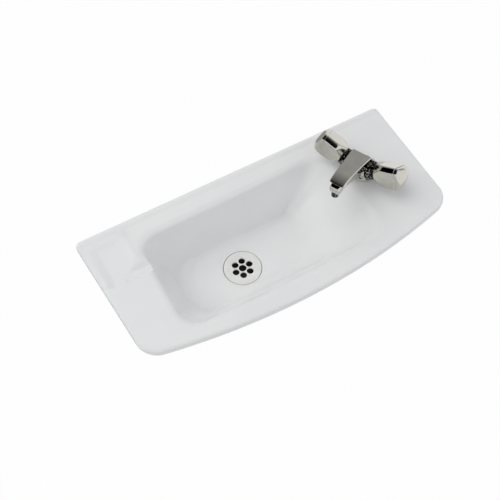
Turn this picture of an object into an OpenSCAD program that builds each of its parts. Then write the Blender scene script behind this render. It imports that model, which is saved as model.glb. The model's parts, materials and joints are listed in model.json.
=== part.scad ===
// Wall-hung cloakroom hand basin with a one-hole mixer tap and a grid waste.
// Sizes are in millimetres. X runs along the wall, Y points into the wall and Z is up.
// The origin is midway between the two wall fixing holes, on the wall face.

/* [Basin plan] */
// Width of the basin along the wall
basin_w = 500; // [470:5:560]
// Width of the basin across its front corners
basin_front_w = 473; // [450:1:500]
// Depth of the straight sides, from the wall to the front corners
side_d = 195; // [190:1:215]
// How far the front edge bows out past the front corners
front_bow = 28.5; // [20:0.5:45]
// Radius of the two corners at the wall
back_corner_r = 8; // [6:1:14]
// Radius of the two front corners
front_corner_r = 24; // [18:1:34]
// Thickness of the rim slab
rim_t = 12; // [10:0.5:16]
// Radius of the rim's outer top edge
rim_edge_r = 4; // [3:0.5:5]
// Height of the rim above the wall fixing holes
rim_z = 60; // [50:1:80]
// Height of the raised bead along the wall
bead_h = 1.8; // [1:0.1:2.5]
// Width of the raised bead along the wall
bead_w = 10; // [8:0.5:12]

/* [Bowl] */
// Distance from the basin's middle to the bowl's left edge
bowl_left = 181; // [170:1:190]
// Distance from the basin's middle to the bowl's right edge
bowl_right = 136; // [120:1:145]
// Distance from the wall to the bowl's back edge
bowl_back = 32; // [28:1:40]
// Distance from the wall to the bowl's front corners
bowl_front = 193; // [188:1:200]
// Bow of the bowl's front edge
bowl_bow = 8; // [4:1:14]
// Depth of the bowl at the foot of its walls
bowl_depth = 80; // [70:1:95]
// Fall of the bowl's floor from the foot of the walls to the waste
floor_fall = 4; // [2:0.5:6]
// Thickness of the ceramic round the bowl
wall_t = 9; // [7:0.5:11]
// Plan radius of the bowl's left corners at the rim
bowl_corner_r = 25; // [18:1:32]
// Plan radius of the bowl's right corners at the rim
bowl_soft_r = 40; // [30:1:50]
// Radius of the lip round the steep sides
lip_r = 6; // [4:0.5:8]
// Radius of the lip at the top of the ramp
ramp_lip_r = 14; // [10:1:18]
// Slope of the ramp at the tap end, measured from upright
ramp_draft = 42; // [36:1:46]
// Slope of the left wall, measured from upright
left_draft = 16; // [10:1:20]
// Slope of the back wall, measured from upright
back_draft = 15; // [10:1:17]
// Slope of the front wall, measured from upright
front_draft = 18; // [12:1:20]

/* [Soap tray] */
// Width of the rib between the soap tray and the bowl
tray_rib = 11; // [9:1:14]
// Margin between the soap tray and the basin's left edge
tray_margin = 12; // [10:1:16]
// Distance from the wall to the back of the soap tray
tray_back = 17; // [15:1:20]
// Length of the soap tray, away from the wall
tray_len = 76; // [60:1:90]
// Depth of the soap tray along its back edge
tray_back_depth = 2.5; // [2:0.5:4]
// Depth of the soap tray along its front edge
tray_front_depth = 6; // [4:0.5:7]
// Corner radius of the soap tray
tray_corner_r = 9; // [6:1:12]
// Width of the channel that drains the soap tray into the bowl
channel_w = 24; // [18:1:30]
// Height of the rib between the soap tray and the bowl
rib_h = 1.1; // [0.6:0.1:1.6]

/* [Wall panel] */
// Width of the wall panel under the rim
panel_w = 424; // [380:2:440]
// Height of the wall panel below the rim
panel_h = 112; // [105:1:130]
// Thickness of the wall panel
panel_t = 11; // [9:0.5:14]
// Spacing of the two wall fixing holes
fixing_spacing = 200; // [150:5:280]
// Diameter of the wall fixing holes
fixing_d = 13; // [11:0.5:15]
// Depth of the side webs, away from the wall
web_d = 92; // [70:1:110]

/* [Waste] */
// Distance from the bowl's left edge to the middle of the waste
waste_from_left = 133; // [120:1:150]
// Distance from the bowl's back edge to the middle of the waste
waste_from_back = 72; // [70:1:76]
// Diameter of the waste flange
flange_d = 57.5; // [54:0.5:62]
// Thickness of the waste flange
flange_t = 2.5; // [2:0.1:3.5]
// Diameter of each hole in the grid
grid_hole_d = 9.5; // [8:0.1:10]
// Pitch radius of the ring of holes in the grid
grid_pitch_r = 12.3; // [11.5:0.1:12.6]
// Number of holes in the ring round the middle one
grid_holes = 6; // [5:1:6]
// Outside diameter of the threaded tail
tail_d = 41.9; // [40:0.1:43]
// Wall of the threaded tail
tail_wall = 3; // [2:0.1:3.2]
// Length of the tail below the flange
tail_len = 85; // [70:1:100]
// Thickness of the sealing ring under the flange
top_seal_t = 1.2; // [0.8:0.1:2]
// Thickness of the rubber washer below the basin
bottom_seal_t = 4; // [3:0.5:6]
// Height of the back nut
backnut_h = 9; // [7:0.5:12]
// Width of the back nut across its flats
backnut_af = 56; // [52:0.5:62]

/* [Tap] */
// Distance from the wall to the middle of the tap hole
tap_from_wall = 90; // [70:1:110]
// Space between the bowl's edge and the tap's base
tap_edge_gap = 0.5; // [0.5:0.5:5]
// Turn of the spout away from the wall's direction
tap_turn = 26; // [0:1:45]
// Diameter of the tap hole
tap_hole_d = 35; // [34:0.5:37]
// Diameter of the tap's base
tap_base_d = 48; // [46:0.5:52]
// Height of the tap's base bell
tap_base_h = 15; // [12:0.5:18]
// Height of the top of the casting at its back edge
body_top_z = 49; // [46:0.5:54]
// Rise of the spout from the body to its crown
spout_rise = 11; // [6:0.5:16]
// Distance from the base's middle to the top back edge
body_lean = 14; // [8:0.5:18]
// Distance from the base's middle to the nozzle
spout_reach = 86; // [80:1:105]
// Height of the spout's mouth above the rim
mouth_z = 42; // [38:0.5:46]
// Width of the casting at the body
body_w = 30; // [28:0.5:32]
// Width of the spout at its mouth
mouth_w = 17; // [15:0.5:20]
// Diameter of the nozzle
nozzle_d = 10.4; // [9:0.2:12]
// Length of nozzle that shows below the mouth
nozzle_len = 9; // [5:0.5:12]

/* [Tap heads] */
// Tilt of the head axes above level
head_tilt = 20; // [12:1:22]
// Height above the rim at which the two head axes cross
head_z = 18.5; // [17:0.5:22]
// Distance from the base's middle to the crossing of the head axes
head_x = 15; // [12:0.5:17]
// Distance from the crossing to the end of each boss
boss_s = 15.5; // [15.5:0.5:17]
// Diameter of each head boss
boss_d = 27; // [26:0.5:28]
// Diameter of the headwork's thread
thread_d = 20.9; // [20:0.1:21.5]
// Width of the headwork's hexagon across its flats
hex_af = 20; // [19:0.5:21]
// Length of the collar round the headwork
collar_len = 13.6; // [12:0.5:16]
// Diameter of the spindle
spindle_d = 8; // [7:0.1:9]
// Turn of each handle from shut to fully open
head_travel = 90; // [45:5:180]

/* [Handles] */
// Distance from the handle's axis to its three flats
handle_flat = 13.5; // [12.5:0.25:14.5]
// Distance from the handle's axis to its three blunt corners
handle_corner = 20; // [19:0.25:21]
// Length of the handle from its neck to the cap
handle_len = 32; // [29:0.5:36]
// Length of the handle's chamfer towards the neck
handle_taper = 18; // [12:0.5:20]
// Rise of the cap's dome
cap_rise = 6; // [4:0.25:7]

/* [Hidden] */
$fn = 64;

// Clearances
run_gap = 0.06;
seat_gap = 0.1;
loose_gap = 0.3;
cut_over = 1;

// Rings of the basin: steps round a corner, and points along the left, front, right and back edges
arc_steps = 6;
edge_points = [4, 16, 4, 10];
back_relief = 0.5;

// Basin values that follow from the plan
waste_x = waste_from_left - bowl_left;
waste_y = -bowl_back - waste_from_back;
floor_z = -bowl_depth - floor_fall;
foot_r = 20;
back_foot_r = 10;
ramp_foot_r = 40;
corner_growth = 10;
under_fillet = 4;
slab_edge = 3;
boss_r = 33;
waste_boss_h = 20;
waste_boss_z = floor_z - waste_boss_h;

// Waste values
waste_recess_r = flange_d / 2 + 2 * loose_gap;
floor_ring_r = waste_recess_r + 2;
flange_top_z = floor_z - 0.3;
flange_dish = 1.2;
grid_t = 2.5;
recess_z = flange_top_z - flange_t - top_seal_t;
tail_r = tail_d / 2;
waste_hole_r = tail_r + 2;
slip_washer_t = 1.2;
nut_gap = 0.05;

// Tap values
tap_x = bowl_right + tap_edge_gap + tap_base_d / 2;
tap_y = -tap_from_wall;
tap_lift = 0.6;
gasket_t = 2.6;
gasket_w = 3.5;
gasket_r = tap_base_d / 2 - 2.5;
stud_x = 9;
stud_r = 4;
stud_hole_depth = 12;
stud_len = 72;
clamp_r = 21.5;
clamp_rubber_t = 3;
clamp_plate_t = 2.5;
stud_nut_h = 8;
stud_nut_af = 13;
inlet_x = -5;
inlet_y = 8;
inlet_r = 4.6;
inlet_depth = 12;
casting_steps = 14;
nozzle_wall = 1;
nozzle_seat = 6;
screen_t = 3;

// Head values, measured along the head axis from the crossing
bore_s = 5;
seat_t = 1;
fixed_disc_t = 3.5;
moving_disc_t = 3;
disc_r = 8.2;
disc_port_r = 2.3;
disc_port_pitch = 4.4;
driver_t = 1.1;
cartridge_wall_r = disc_r + seat_gap;
cartridge_end_s = bore_s + seat_t + fixed_disc_t + moving_disc_t + driver_t + 2 * run_gap + 0.4;
sealing_t = 1;
hex_h = 5;
neck_r = 7;
neck_h = 6;
hex_s = boss_s + sealing_t;
collar_end_s = boss_s + collar_len;
neck_gap = 0.8;
handle_s = collar_end_s + neck_gap;
handle_end_s = handle_s + handle_len;
spindle_r = spindle_d / 2;
hub_s = handle_s + 6;
hub_recess_r = 11;
screw_seat_s = handle_end_s - 10;
spindle_end_s = screw_seat_s - 6;
screw_r = 2;
screw_head_r = 4.2;
screw_head_h = 3;
screw_len = 16;
hub_r = 6.5;
pocket_k = 0.84;
pocket_s = handle_end_s - 18;
cap_plug_k = pocket_k - 0.01;
cap_plug_t = 3;

// Unit vector along v
function unit(v) = v / norm(v);

// Point at share t of the way from a to b
function mix(a, b, t) = a + (b - a) * t;

// Value v held between lo and hi
function held(v, lo, hi) = max(lo, min(hi, v));

// Arc of radius r that rounds corner c between its neighbours a and b
function corner_arc(a, c, b, r, n) =
    let (u = unit(a - c), v = unit(b - c))
    let (half = acos(held(u * v, -1, 1)) / 2, t = r / tan(half), w = sin(half))
    let (p = c + u * t, q = c + v * t)
    [for (i = [0 : n])
        let (s = i / n, k0 = (1 - s) * (1 - s), k1 = 2 * w * s * (1 - s), k2 = s * s)
        (p * k0 + c * k1 + q * k2) / (k0 + k1 + k2)];

// Closed outline round a four-sided shape: each corner's arc, then the points of the edge after it
function rounded_quad(corners, radii, steps, points) =
    let (arcs = [for (i = [0 : 3])
        corner_arc(corners[(i + 3) % 4], corners[i], corners[(i + 1) % 4], radii[i], steps)])
    [for (i = [0 : 3])
        let (a = arcs[i][steps], b = arcs[(i + 1) % 4][0], n = points[i])
        each concat(arcs[i], [for (k = [1 : n]) mix(a, b, k / (n + 1))])];

// Outline with its front edge bowed, by nothing at the back edge and fully at the front edge
function bowed(outline, bow, half_w, back_y, front_y) =
    [for (p = outline)
        let (share = held((back_y - p.y) / (back_y - front_y), 0, 1), x = p.x / half_w)
        [p.x, p.y - bow * share * max(0, 1 - x * x)]];

// Outline lifted to height z
function at_height(outline, z) = [for (p = outline) [p.x, p.y, z]];

// How far a bowl wall has come in at depth z: a lip arc, a straight draft and a foot arc
function wall_in(z, lip, draft, foot, depth) =
    let (turn = 90 - draft, lip_z = lip * (1 - cos(turn)), foot_z = depth - foot * (1 - cos(turn)))
    z <= lip_z ? lip * sin(acos(1 - z / lip))
    : let (straight = (min(z, foot_z) - lip_z) * tan(draft))
      lip * sin(turn) + straight
      + (z <= foot_z ? 0 : foot * (sin(turn) - sin(acos(held(1 - (depth - z) / foot, -1, 1)))));

// The bowl's outline at depth z, grown outwards by the wall's thickness t
function bowl_outline(z, t) =
    let (
        x_left = -bowl_left + wall_in(z, lip_r, left_draft, foot_r, bowl_depth) - t / cos(left_draft),
        x_right = bowl_right - wall_in(z, ramp_lip_r, ramp_draft, ramp_foot_r, bowl_depth)
            + t / cos(ramp_draft),
        y_back = -bowl_back - wall_in(z, lip_r, back_draft, back_foot_r, bowl_depth) + t / cos(back_draft),
        y_front = -bowl_front + wall_in(z, lip_r, front_draft, foot_r, bowl_depth) - t / cos(front_draft),
        growth = corner_growth * z / bowl_depth + t,
        quad = [[x_left, y_back], [x_left, y_front], [x_right, y_front], [x_right, y_back]],
        room = (y_back - y_front) / 2 - 1,
        left_r = min(bowl_corner_r + growth, room),
        right_r = min(bowl_soft_r + growth / 2, room)
    )
    bowed(rounded_quad(quad, [left_r, left_r, right_r, right_r], arc_steps, edge_points),
        bowl_bow, bowl_left, y_back, y_front);

// The basin's outline, drawn in by e, and by e_wall along the wall
function plan_outline(e, e_wall) =
    let (
        back = basin_w / 2 - e, front = basin_front_w / 2 - e,
        y_back = -back_relief - e_wall, y_front = -side_d + e,
        quad = [[-back, y_back], [-front, y_front], [front, y_front], [back, y_back]],
        back_r = max(back_corner_r - e, 3), front_r = max(front_corner_r - e, 3)
    )
    bowed(rounded_quad(quad, [back_r, front_r, front_r, back_r], arc_steps, edge_points),
        front_bow, front, y_back, y_front);

// The basin's outline drawn in by e at height z, or by e_wall at height z_wall along the wall
function rim_ring(e, z, e_wall, z_wall) =
    [for (p = plan_outline(e, e_wall))
        let (share = held(1 + (p.y + back_relief + e_wall) / back_corner_r, 0, 1))
        [p.x, p.y, mix(z, z_wall, share)]];

// Circle of radius r round the waste, with its points in line with those of an outline
function waste_ring(outline, r, z) =
    [for (p = outline)
        let (u = unit([p.x - waste_x, p.y - waste_y]))
        [waste_x + r * u.x, waste_y + r * u.y, z]];

// Ring part way between two rings
function ring_between(a, b, t) = [for (i = [0 : len(a) - 1]) mix(a[i], b[i], t)];

// Closed solid through a list of rings that have the same number of points
module skin(rings) {
    n = len(rings[0]);
    last = (len(rings) - 1) * n;
    middles = [for (r = [rings[0], rings[len(rings) - 1]]) [for (p = r) 1 / n] * r];
    sides = [for (k = [0 : len(rings) - 2], i = [0 : n - 1])
        let (j = (i + 1) % n, a = k * n, b = a + n)
        each [[a + i, a + j, b + j], [a + i, b + j, b + i]]];
    ends = [for (i = [0 : n - 1])
        let (j = (i + 1) % n)
        each [[last + n, j, i], [last + n + 1, last + i, last + j]]];
    polyhedron(points = concat([for (r = rings) each r], middles), faces = concat(sides, ends), convexity = 6);
}

// Depths of the bowl's rings, from the floor up to the lip
lip_depths = [for (a = [0 : 18 : 72]) lip_r * (1 - cos(a))];
foot_depths = [for (a = [0 : 18 : 72]) bowl_depth - foot_r * (1 - cos(a))];
wall_depths = [for (t = [0.25, 0.5, 0.75]) mix(foot_depths[4], lip_depths[4], t)];
bowl_depths = concat(foot_depths, wall_depths, [for (i = [4 : -1 : 0]) lip_depths[i]]);

// Depths of the rings under the bowl, from the rim's underside down
under_depths = [for (t = [0 : 0.25 : 1]) mix(rim_t + 3 * under_fillet, foot_depths[4] + wall_t, t)];
under_foot_depths = [for (i = [3 : -1 : 0]) foot_depths[i] + wall_t];
under_scale = bowl_depth / (bowl_depth + wall_t);

// Outline of the bowl's outer face at depth z, grown by a further g
function under_outline(z, g) = bowl_outline(z * under_scale, wall_t + g);

function basin_rings() =
    let (
        foot = at_height(bowl_outline(bowl_depth, 0), -bowl_depth),
        drain = waste_ring(foot, floor_ring_r, floor_z),
        under_foot = at_height(under_outline(bowl_depth + wall_t, 0), -bowl_depth - wall_t),
        boss = waste_ring(under_foot, boss_r, floor_z - wall_t)
    )
    concat(
        [drain, ring_between(drain, foot, 0.4), ring_between(drain, foot, 0.75)],
        [for (z = bowl_depths) at_height(bowl_outline(z, 0), -z)],
        [
            rim_ring(rim_edge_r + 3, 0, bead_w + 3, 0),
            rim_ring(rim_edge_r + 2, 0, bead_w + 0.5, bead_h * 0.6),
            rim_ring(rim_edge_r + 1, 0, bead_w * 0.7, bead_h),
            rim_ring(rim_edge_r, 0, rim_edge_r, bead_h * 0.7)
        ],
        [for (k = [[0.45, 0.16, 0], [0.12, 0.53, 0.4], [0, 1, 1]])
            rim_ring(rim_edge_r * k[0], -rim_edge_r * k[1], rim_edge_r * k[0], -rim_edge_r * k[2])],
        [for (k = [[0, 0.6], [0.3, 0.2], [1, 0]])
            rim_ring(slab_edge * k[0], slab_edge * k[1] - rim_t, slab_edge * k[0], slab_edge * k[1] - rim_t)],
        [
            at_height(under_outline(rim_t, under_fillet), -rim_t),
            at_height(under_outline(rim_t + under_fillet, under_fillet * 0.4), -rim_t - under_fillet)
        ],
        [for (z = under_depths) at_height(under_outline(z, 0), -z)],
        [for (z = under_foot_depths) at_height(under_outline(z, 0), -z)],
        [ring_between(under_foot, boss, 0.5), boss, waste_ring(under_foot, boss_r, waste_boss_z)]
    );

// Soap tray, cut into the rim left of the bowl, with a channel from its front corner into the bowl
tray_right = -bowl_left - tray_rib;
tray_left = -basin_w / 2 + tray_margin;
tray_front = -tray_back - tray_len;

// Ring of the tray drawn in by e, at share f of the way down to its sloping floor
function tray_ring(e, f) =
    let (
        x0 = tray_left + e, x1 = tray_right - e, y0 = -tray_back - e, y1 = tray_front + e,
        quad = [[x0, y0], [x0, y1], [x1, y1], [x1, y0]], r = max(tray_corner_r - e, 3)
    )
    [for (p = rounded_quad(quad, [r, r, r, r], 4, [3, 1, 3, 1]))
        [p.x, p.y, -f * mix(tray_back_depth, tray_front_depth, -(p.y + tray_back) / tray_len)]];

module soap_tray() {
    depth = tray_front_depth - 0.5;
    start = [tray_front, 1];
    low = [tray_front + 5, -depth];
    skin([
        tray_ring(-2, -0.25), tray_ring(-0.6, 0), tray_ring(1.2, 0.1), tray_ring(3, 0.32),
        tray_ring(5, 0.64), tray_ring(7, 0.88), tray_ring(9.5, 1)
    ]);
    translate([tray_right - 8, 0, 0])
        rotate([0, 2, 0])
            rotate([90, 0, 90])
                linear_extrude(tray_rib + lip_r + 12)
                    polygon(concat(
                        [start],
                        corner_arc(start, low, low + [channel_w - 10, 0], 4, arc_steps),
                        corner_arc(low, low + [channel_w - 10, 0], start + [channel_w, 0], 4, arc_steps),
                        [start + [channel_w, 0]]
                    ));
}

// Raised rib between the soap tray and the bowl, from the bead to the channel
module tray_ridge() {
    half = tray_rib / 2;
    end_y = tray_front + channel_w + half;
    profile = [for (x = [0 : 0.25 : 1]) [half * (1 - x), rib_h * (1 - pow(1 - x, 2))]];
    translate([tray_right + half, 0, 0]) {
        translate([0, end_y, 0]) {
            rotate([-90, 0, 0])
                linear_extrude(-end_y - bead_w)
                    polygon(concat(
                        [[half, 1], [half, 0]],
                        [for (p = profile) [p.x, -p.y]],
                        [for (i = [4 : -1 : 0]) [-profile[i].x, -profile[i].y]],
                        [[-half, 1]]
                    ));
            rotate_extrude() polygon(concat([[0, -1], [half, -1]], profile));
        }
    }
}

// Wall panel outline, with its two lower corners rounded
module wall_panel() {
    corner = 18;
    x = panel_w / 2;
    low = concat(
        corner_arc([-x, 0], [-x, -panel_h], [x, -panel_h], corner, arc_steps),
        corner_arc([-x, -panel_h], [x, -panel_h], [x, 0], corner, arc_steps)
    );
    rotate([90, 0, 0])
        linear_extrude(panel_t)
            polygon(concat([[-x, -rim_t / 2]], low, [[x, -rim_t / 2]]));
}

// Side web that carries the end of the rim from the panel
module side_web() {
    rotate([90, 0, 90])
        linear_extrude(wall_t, center = true)
            polygon([
                [-panel_t / 2, -rim_t / 2], [-web_d, -rim_t / 2], [-web_d, -rim_t - 4],
                [-panel_t, -panel_h + 14], [-panel_t / 2, -panel_h + 14]
            ]);
}

module basin() {
    color("white")
    difference() {
        translate([0, 0, rim_z])
            difference() {
                union() {
                    skin(basin_rings());
                    tray_ridge();
                    wall_panel();
                    for (side = [-1, 1])
                        translate([side * (panel_w - wall_t) / 2, 0, 0]) side_web();
                }
                soap_tray();
                translate([tap_x, tap_y, -rim_t - cut_over])
                    cylinder(h = rim_t + 2 * cut_over, d = tap_hole_d);
                translate([waste_x, waste_y, recess_z])
                    cylinder(h = flange_t + top_seal_t + cut_over, r = waste_recess_r);
                translate([waste_x, waste_y, waste_boss_z - cut_over])
                    cylinder(h = waste_boss_h + 2 * cut_over, r = waste_hole_r);
            }
        for (side = [-1, 1])
            translate([side * fixing_spacing / 2, cut_over, 0])
                rotate([90, 0, 0])
                    cylinder(h = panel_t + 2 * cut_over, d = fixing_d);
    }
}

// Places what follows at height z over the waste
module at_waste(z) {
    translate([waste_x, waste_y, rim_z + z]) children();
}

module waste_flange() {
    r = flange_d / 2;
    dish_r = grid_pitch_r + grid_hole_d / 2 + 1;
    color("silver")
    at_waste(flange_top_z)
        difference() {
            rotate_extrude()
                polygon([
                    [0, -flange_dish], [dish_r, -flange_dish], [dish_r + 3, -flange_dish * 0.3],
                    [r - 2, 0], [r - 0.6, -0.4], [r, -1.4], [r, -flange_t],
                    [tail_r, -flange_t], [tail_r, -tail_len], [tail_r - tail_wall, -tail_len],
                    [tail_r - tail_wall, -flange_dish - grid_t], [0, -flange_dish - grid_t]
                ]);
            for (a = [0 : grid_holes])
                rotate([0, 0, a * 360 / grid_holes + 7])
                    translate([a < grid_holes ? grid_pitch_r : 0, 0, -flange_dish - grid_t - cut_over])
                        cylinder(h = grid_t + 2 * cut_over, d = grid_hole_d);
        }
}

// Flat ring with its lower face at z = 0
module ring(inner, outer, h) {
    difference() {
        cylinder(h = h, r = outer);
        translate([0, 0, -cut_over]) cylinder(h = h + 2 * cut_over, r = inner);
    }
}

module waste_top_seal() {
    color("black")
    at_waste(recess_z)
        ring(waste_hole_r, flange_d / 2 - 0.5, top_seal_t);
}

module waste_bottom_seal() {
    color("dimgray")
    at_waste(waste_boss_z - bottom_seal_t)
        ring(tail_r + seat_gap, boss_r - 0.5, bottom_seal_t);
}

module waste_slip_washer() {
    color("ivory")
    at_waste(waste_boss_z - bottom_seal_t - slip_washer_t)
        ring(tail_r + seat_gap, boss_r - 1, slip_washer_t);
}

module waste_backnut() {
    color("goldenrod")
    at_waste(waste_boss_z - bottom_seal_t - slip_washer_t - backnut_h)
        difference() {
            intersection() {
                cylinder(h = backnut_h, d = backnut_af / cos(30), $fn = 6);
                cylinder(h = backnut_h, d1 = backnut_af - 1 + 2 * backnut_h, d2 = backnut_af + 1);
            }
            translate([0, 0, -cut_over]) cylinder(h = backnut_h + 2 * cut_over, r = tail_r + nut_gap);
        }
}

// Places what follows on the tap hole, with X along the spout
module at_tap(z) {
    translate([tap_x, tap_y, rim_z + z]) rotate([0, 0, 180 + tap_turn]) children();
}

// Point at share t along the cubic curve with control points c
function curve_point(c, t) =
    let (s = 1 - t)
    c[0] * s * s * s + c[1] * 3 * s * s * t + c[2] * 3 * s * t * t + c[3] * t * t * t;

// The casting's outer edge in side view, from the top of the back to the mouth's front
mouth_half = nozzle_d / 2 + 1.6;
mouth_front = spout_reach + mouth_half;
outer_curve = [
    [body_lean, body_top_z],
    [body_lean + 36, body_top_z + spout_rise * 0.65],
    [mouth_front + 11, body_top_z + spout_rise * 2.25],
    [mouth_front, mouth_z]
];

// The casting's inner edge in side view, from the foot of the back to the mouth's rear
inner_curve = [
    [-tap_base_d / 2 + 5, 5],
    [tap_base_d / 2 - 4, 5],
    [spout_reach * 0.55, mouth_z - 3],
    [spout_reach - mouth_half, mouth_z]
];

// Cross-section of the casting at share t: a rounded rectangle from the inner to the outer edge
function casting_ring(t) =
    let (
        a = curve_point(inner_curve, t), b = curve_point(outer_curve, t), d = norm(b - a), u = (b - a) / d,
        w = mix(body_w, mouth_w, t * (2 - t)) / 2, inner_r = min(6, w * 0.6), outer_r = 2.6,
        quad = [[-w, 0], [w, 0], [w, d], [-w, d]]
    )
    [for (p = rounded_quad(quad, [inner_r, inner_r, outer_r, outer_r], 4, [2, 3, 2, 3]))
        [a.x + u.x * p.y, -p.x, a.y + u.y * p.y]];

module casting() {
    skin([for (i = [0 : casting_steps]) casting_ring(i / casting_steps)]);
    translate([0, 0, tap_lift])
        rotate_extrude()
            polygon(concat(
                [[0, 0], [tap_base_d / 2, 0], [tap_base_d / 2, 2.2]],
                [for (a = [0 : 15 : 90])
                    [tap_base_d / 2 - 10 + 10 * pow(cos(a), 2) * 0.94, 2.6 + (tap_base_h - 2.6) * pow(sin(a), 3)]],
                [[0, tap_base_h]]
            ));
}

// Places what follows on a head axis, s along it from the crossing; side is -1 for hot and 1 for cold
module at_head(side, s) {
    translate([head_x, 0, head_z])
        rotate([-side * (90 - head_tilt), 0, 0])
            translate([0, 0, s]) children();
}

module tap_body() {
    color("lightgray")
    at_tap(0)
        difference() {
            union() {
                difference() {
                    casting();
                    for (side = [-1, 1])
                        at_head(side, boss_s) cylinder(h = collar_len, d = boss_d + 2 * loose_gap);
                }
                for (side = [-1, 1])
                    at_head(side, 0) cylinder(h = boss_s, d = boss_d);
            }
            for (side = [-1, 1]) {
                at_head(side, bore_s) cylinder(h = boss_s, d = thread_d + 2 * seat_gap);
                translate([inlet_x, side * inlet_y, tap_lift - cut_over])
                    cylinder(h = inlet_depth + cut_over, r = inlet_r);
            }
            translate([stud_x, 0, tap_lift - cut_over])
                cylinder(h = stud_hole_depth + cut_over, r = stud_r + nut_gap);
            translate([0, 0, tap_lift - cut_over])
                ring(gasket_r - gasket_w, gasket_r, gasket_t - tap_lift + cut_over);
            translate([spout_reach, 0, mouth_z - cut_over])
                cylinder(h = nozzle_seat + cut_over, d = nozzle_d + 2 * nut_gap);
        }
}

module spout_nozzle() {
    color("silver")
    at_tap(mouth_z - nozzle_len)
        translate([spout_reach, 0, 0])
            difference() {
                cylinder(h = nozzle_len + nozzle_seat - 1, d = nozzle_d);
                translate([0, 0, -cut_over])
                    cylinder(h = screen_t + 2 + cut_over, d = nozzle_d - 2 * nozzle_wall);
                cylinder(h = nozzle_len + nozzle_seat, d = nozzle_d - 4 * nozzle_wall);
            }
}

module nozzle_screen() {
    r = nozzle_d / 2 - nozzle_wall - nut_gap;
    color("whitesmoke")
    at_tap(mouth_z - nozzle_len + 1)
        translate([spout_reach, 0, 0])
            difference() {
                cylinder(h = screen_t, r = r);
                for (a = [0 : 60 : 300])
                    rotate([0, 0, a])
                        translate([r * 0.6, 0, -cut_over]) cylinder(h = screen_t + 2 * cut_over, r = r * 0.2);
            }
}

module nozzle_washer() {
    color("black")
    at_tap(mouth_z - nozzle_len + 1 + screen_t)
        translate([spout_reach, 0, 0])
            ring(nozzle_d / 2 - 2 * nozzle_wall, nozzle_d / 2 - nozzle_wall - nut_gap, 1);
}

module tap_base_gasket() {
    color("black")
    at_tap(0)
        ring(gasket_r - gasket_w + seat_gap, gasket_r - seat_gap, gasket_t);
}

// Horseshoe of thickness h that slips round the stud, open towards the inlets
module horseshoe(h) {
    difference() {
        cylinder(h = h, r = clamp_r);
        translate([inlet_x - clamp_r, -inlet_y - inlet_r - 1, -cut_over])
            cube([clamp_r + inlet_r + 1, 2 * (inlet_y + inlet_r + 1), h + 2 * cut_over]);
        translate([stud_x, 0, -cut_over]) cylinder(h = h + 2 * cut_over, r = stud_r + loose_gap);
    }
}

module fixing_stud() {
    color("tan")
    at_tap(tap_lift + stud_hole_depth - stud_len)
        translate([stud_x, 0, 0]) cylinder(h = stud_len, r = stud_r);
}

module clamp_rubber() {
    color("black")
    at_tap(-rim_t - clamp_rubber_t) horseshoe(clamp_rubber_t);
}

module clamp_plate() {
    color("silver")
    at_tap(-rim_t - clamp_rubber_t - clamp_plate_t) horseshoe(clamp_plate_t);
}

module stud_nut() {
    color("goldenrod")
    at_tap(-rim_t - clamp_rubber_t - clamp_plate_t - stud_nut_h)
        translate([stud_x, 0, 0])
            difference() {
                cylinder(h = stud_nut_h, d = stud_nut_af / cos(30), $fn = 6);
                translate([0, 0, -cut_over]) cylinder(h = stud_nut_h + 2 * cut_over, r = stud_r + nut_gap);
            }
}

// Headwork: thread, hexagon and neck, with the cartridge inside
module headwork() {
    start_s = bore_s + seat_t;
    color("darkgoldenrod")
    difference() {
        union() {
            translate([0, 0, start_s]) cylinder(h = hex_s - start_s, d = thread_d);
            translate([0, 0, hex_s]) cylinder(h = hex_h, d = hex_af / cos(30), $fn = 6);
            translate([0, 0, hex_s + hex_h]) cylinder(h = neck_h, r = neck_r);
        }
        translate([0, 0, start_s - cut_over])
            cylinder(h = cartridge_end_s - start_s + cut_over, r = cartridge_wall_r);
        cylinder(h = hex_s + hex_h + neck_h + cut_over, r = spindle_r + run_gap);
    }
}

module sealing_ring() {
    color("firebrick")
    translate([0, 0, boss_s])
        ring(thread_d / 2 + seat_gap, thread_d / 2 + 1.2, sealing_t);
}

module seat_seal() {
    color("black")
    translate([0, 0, bore_s])
        ring(disc_port_pitch + disc_port_r, thread_d / 2, seat_t);
}

// Ceramic disc of thickness h with its two water ports
module ceramic_disc(h) {
    difference() {
        cylinder(h = h, r = disc_r);
        for (side = [-1, 1])
            translate([side * disc_port_pitch, 0, -cut_over])
                cylinder(h = h + 2 * cut_over, r = disc_port_r);
    }
}

module fixed_disc() {
    color("snow")
    translate([0, 0, bore_s + seat_t]) ceramic_disc(fixed_disc_t);
}

module moving_disc() {
    color("gainsboro")
    translate([0, 0, bore_s + seat_t + fixed_disc_t + run_gap])
        rotate([0, 0, 90]) ceramic_disc(moving_disc_t);
}

module spindle() {
    driver_s = bore_s + seat_t + fixed_disc_t + moving_disc_t + run_gap;
    color("goldenrod")
    difference() {
        union() {
            translate([0, 0, driver_s]) cylinder(h = driver_t, r = disc_r);
            translate([0, 0, driver_s]) cylinder(h = spindle_end_s - driver_s, r = spindle_r);
        }
        translate([0, 0, screw_seat_s - screw_len - 1])
            cylinder(h = screw_len + cut_over, r = screw_r + nut_gap);
    }
}

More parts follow.
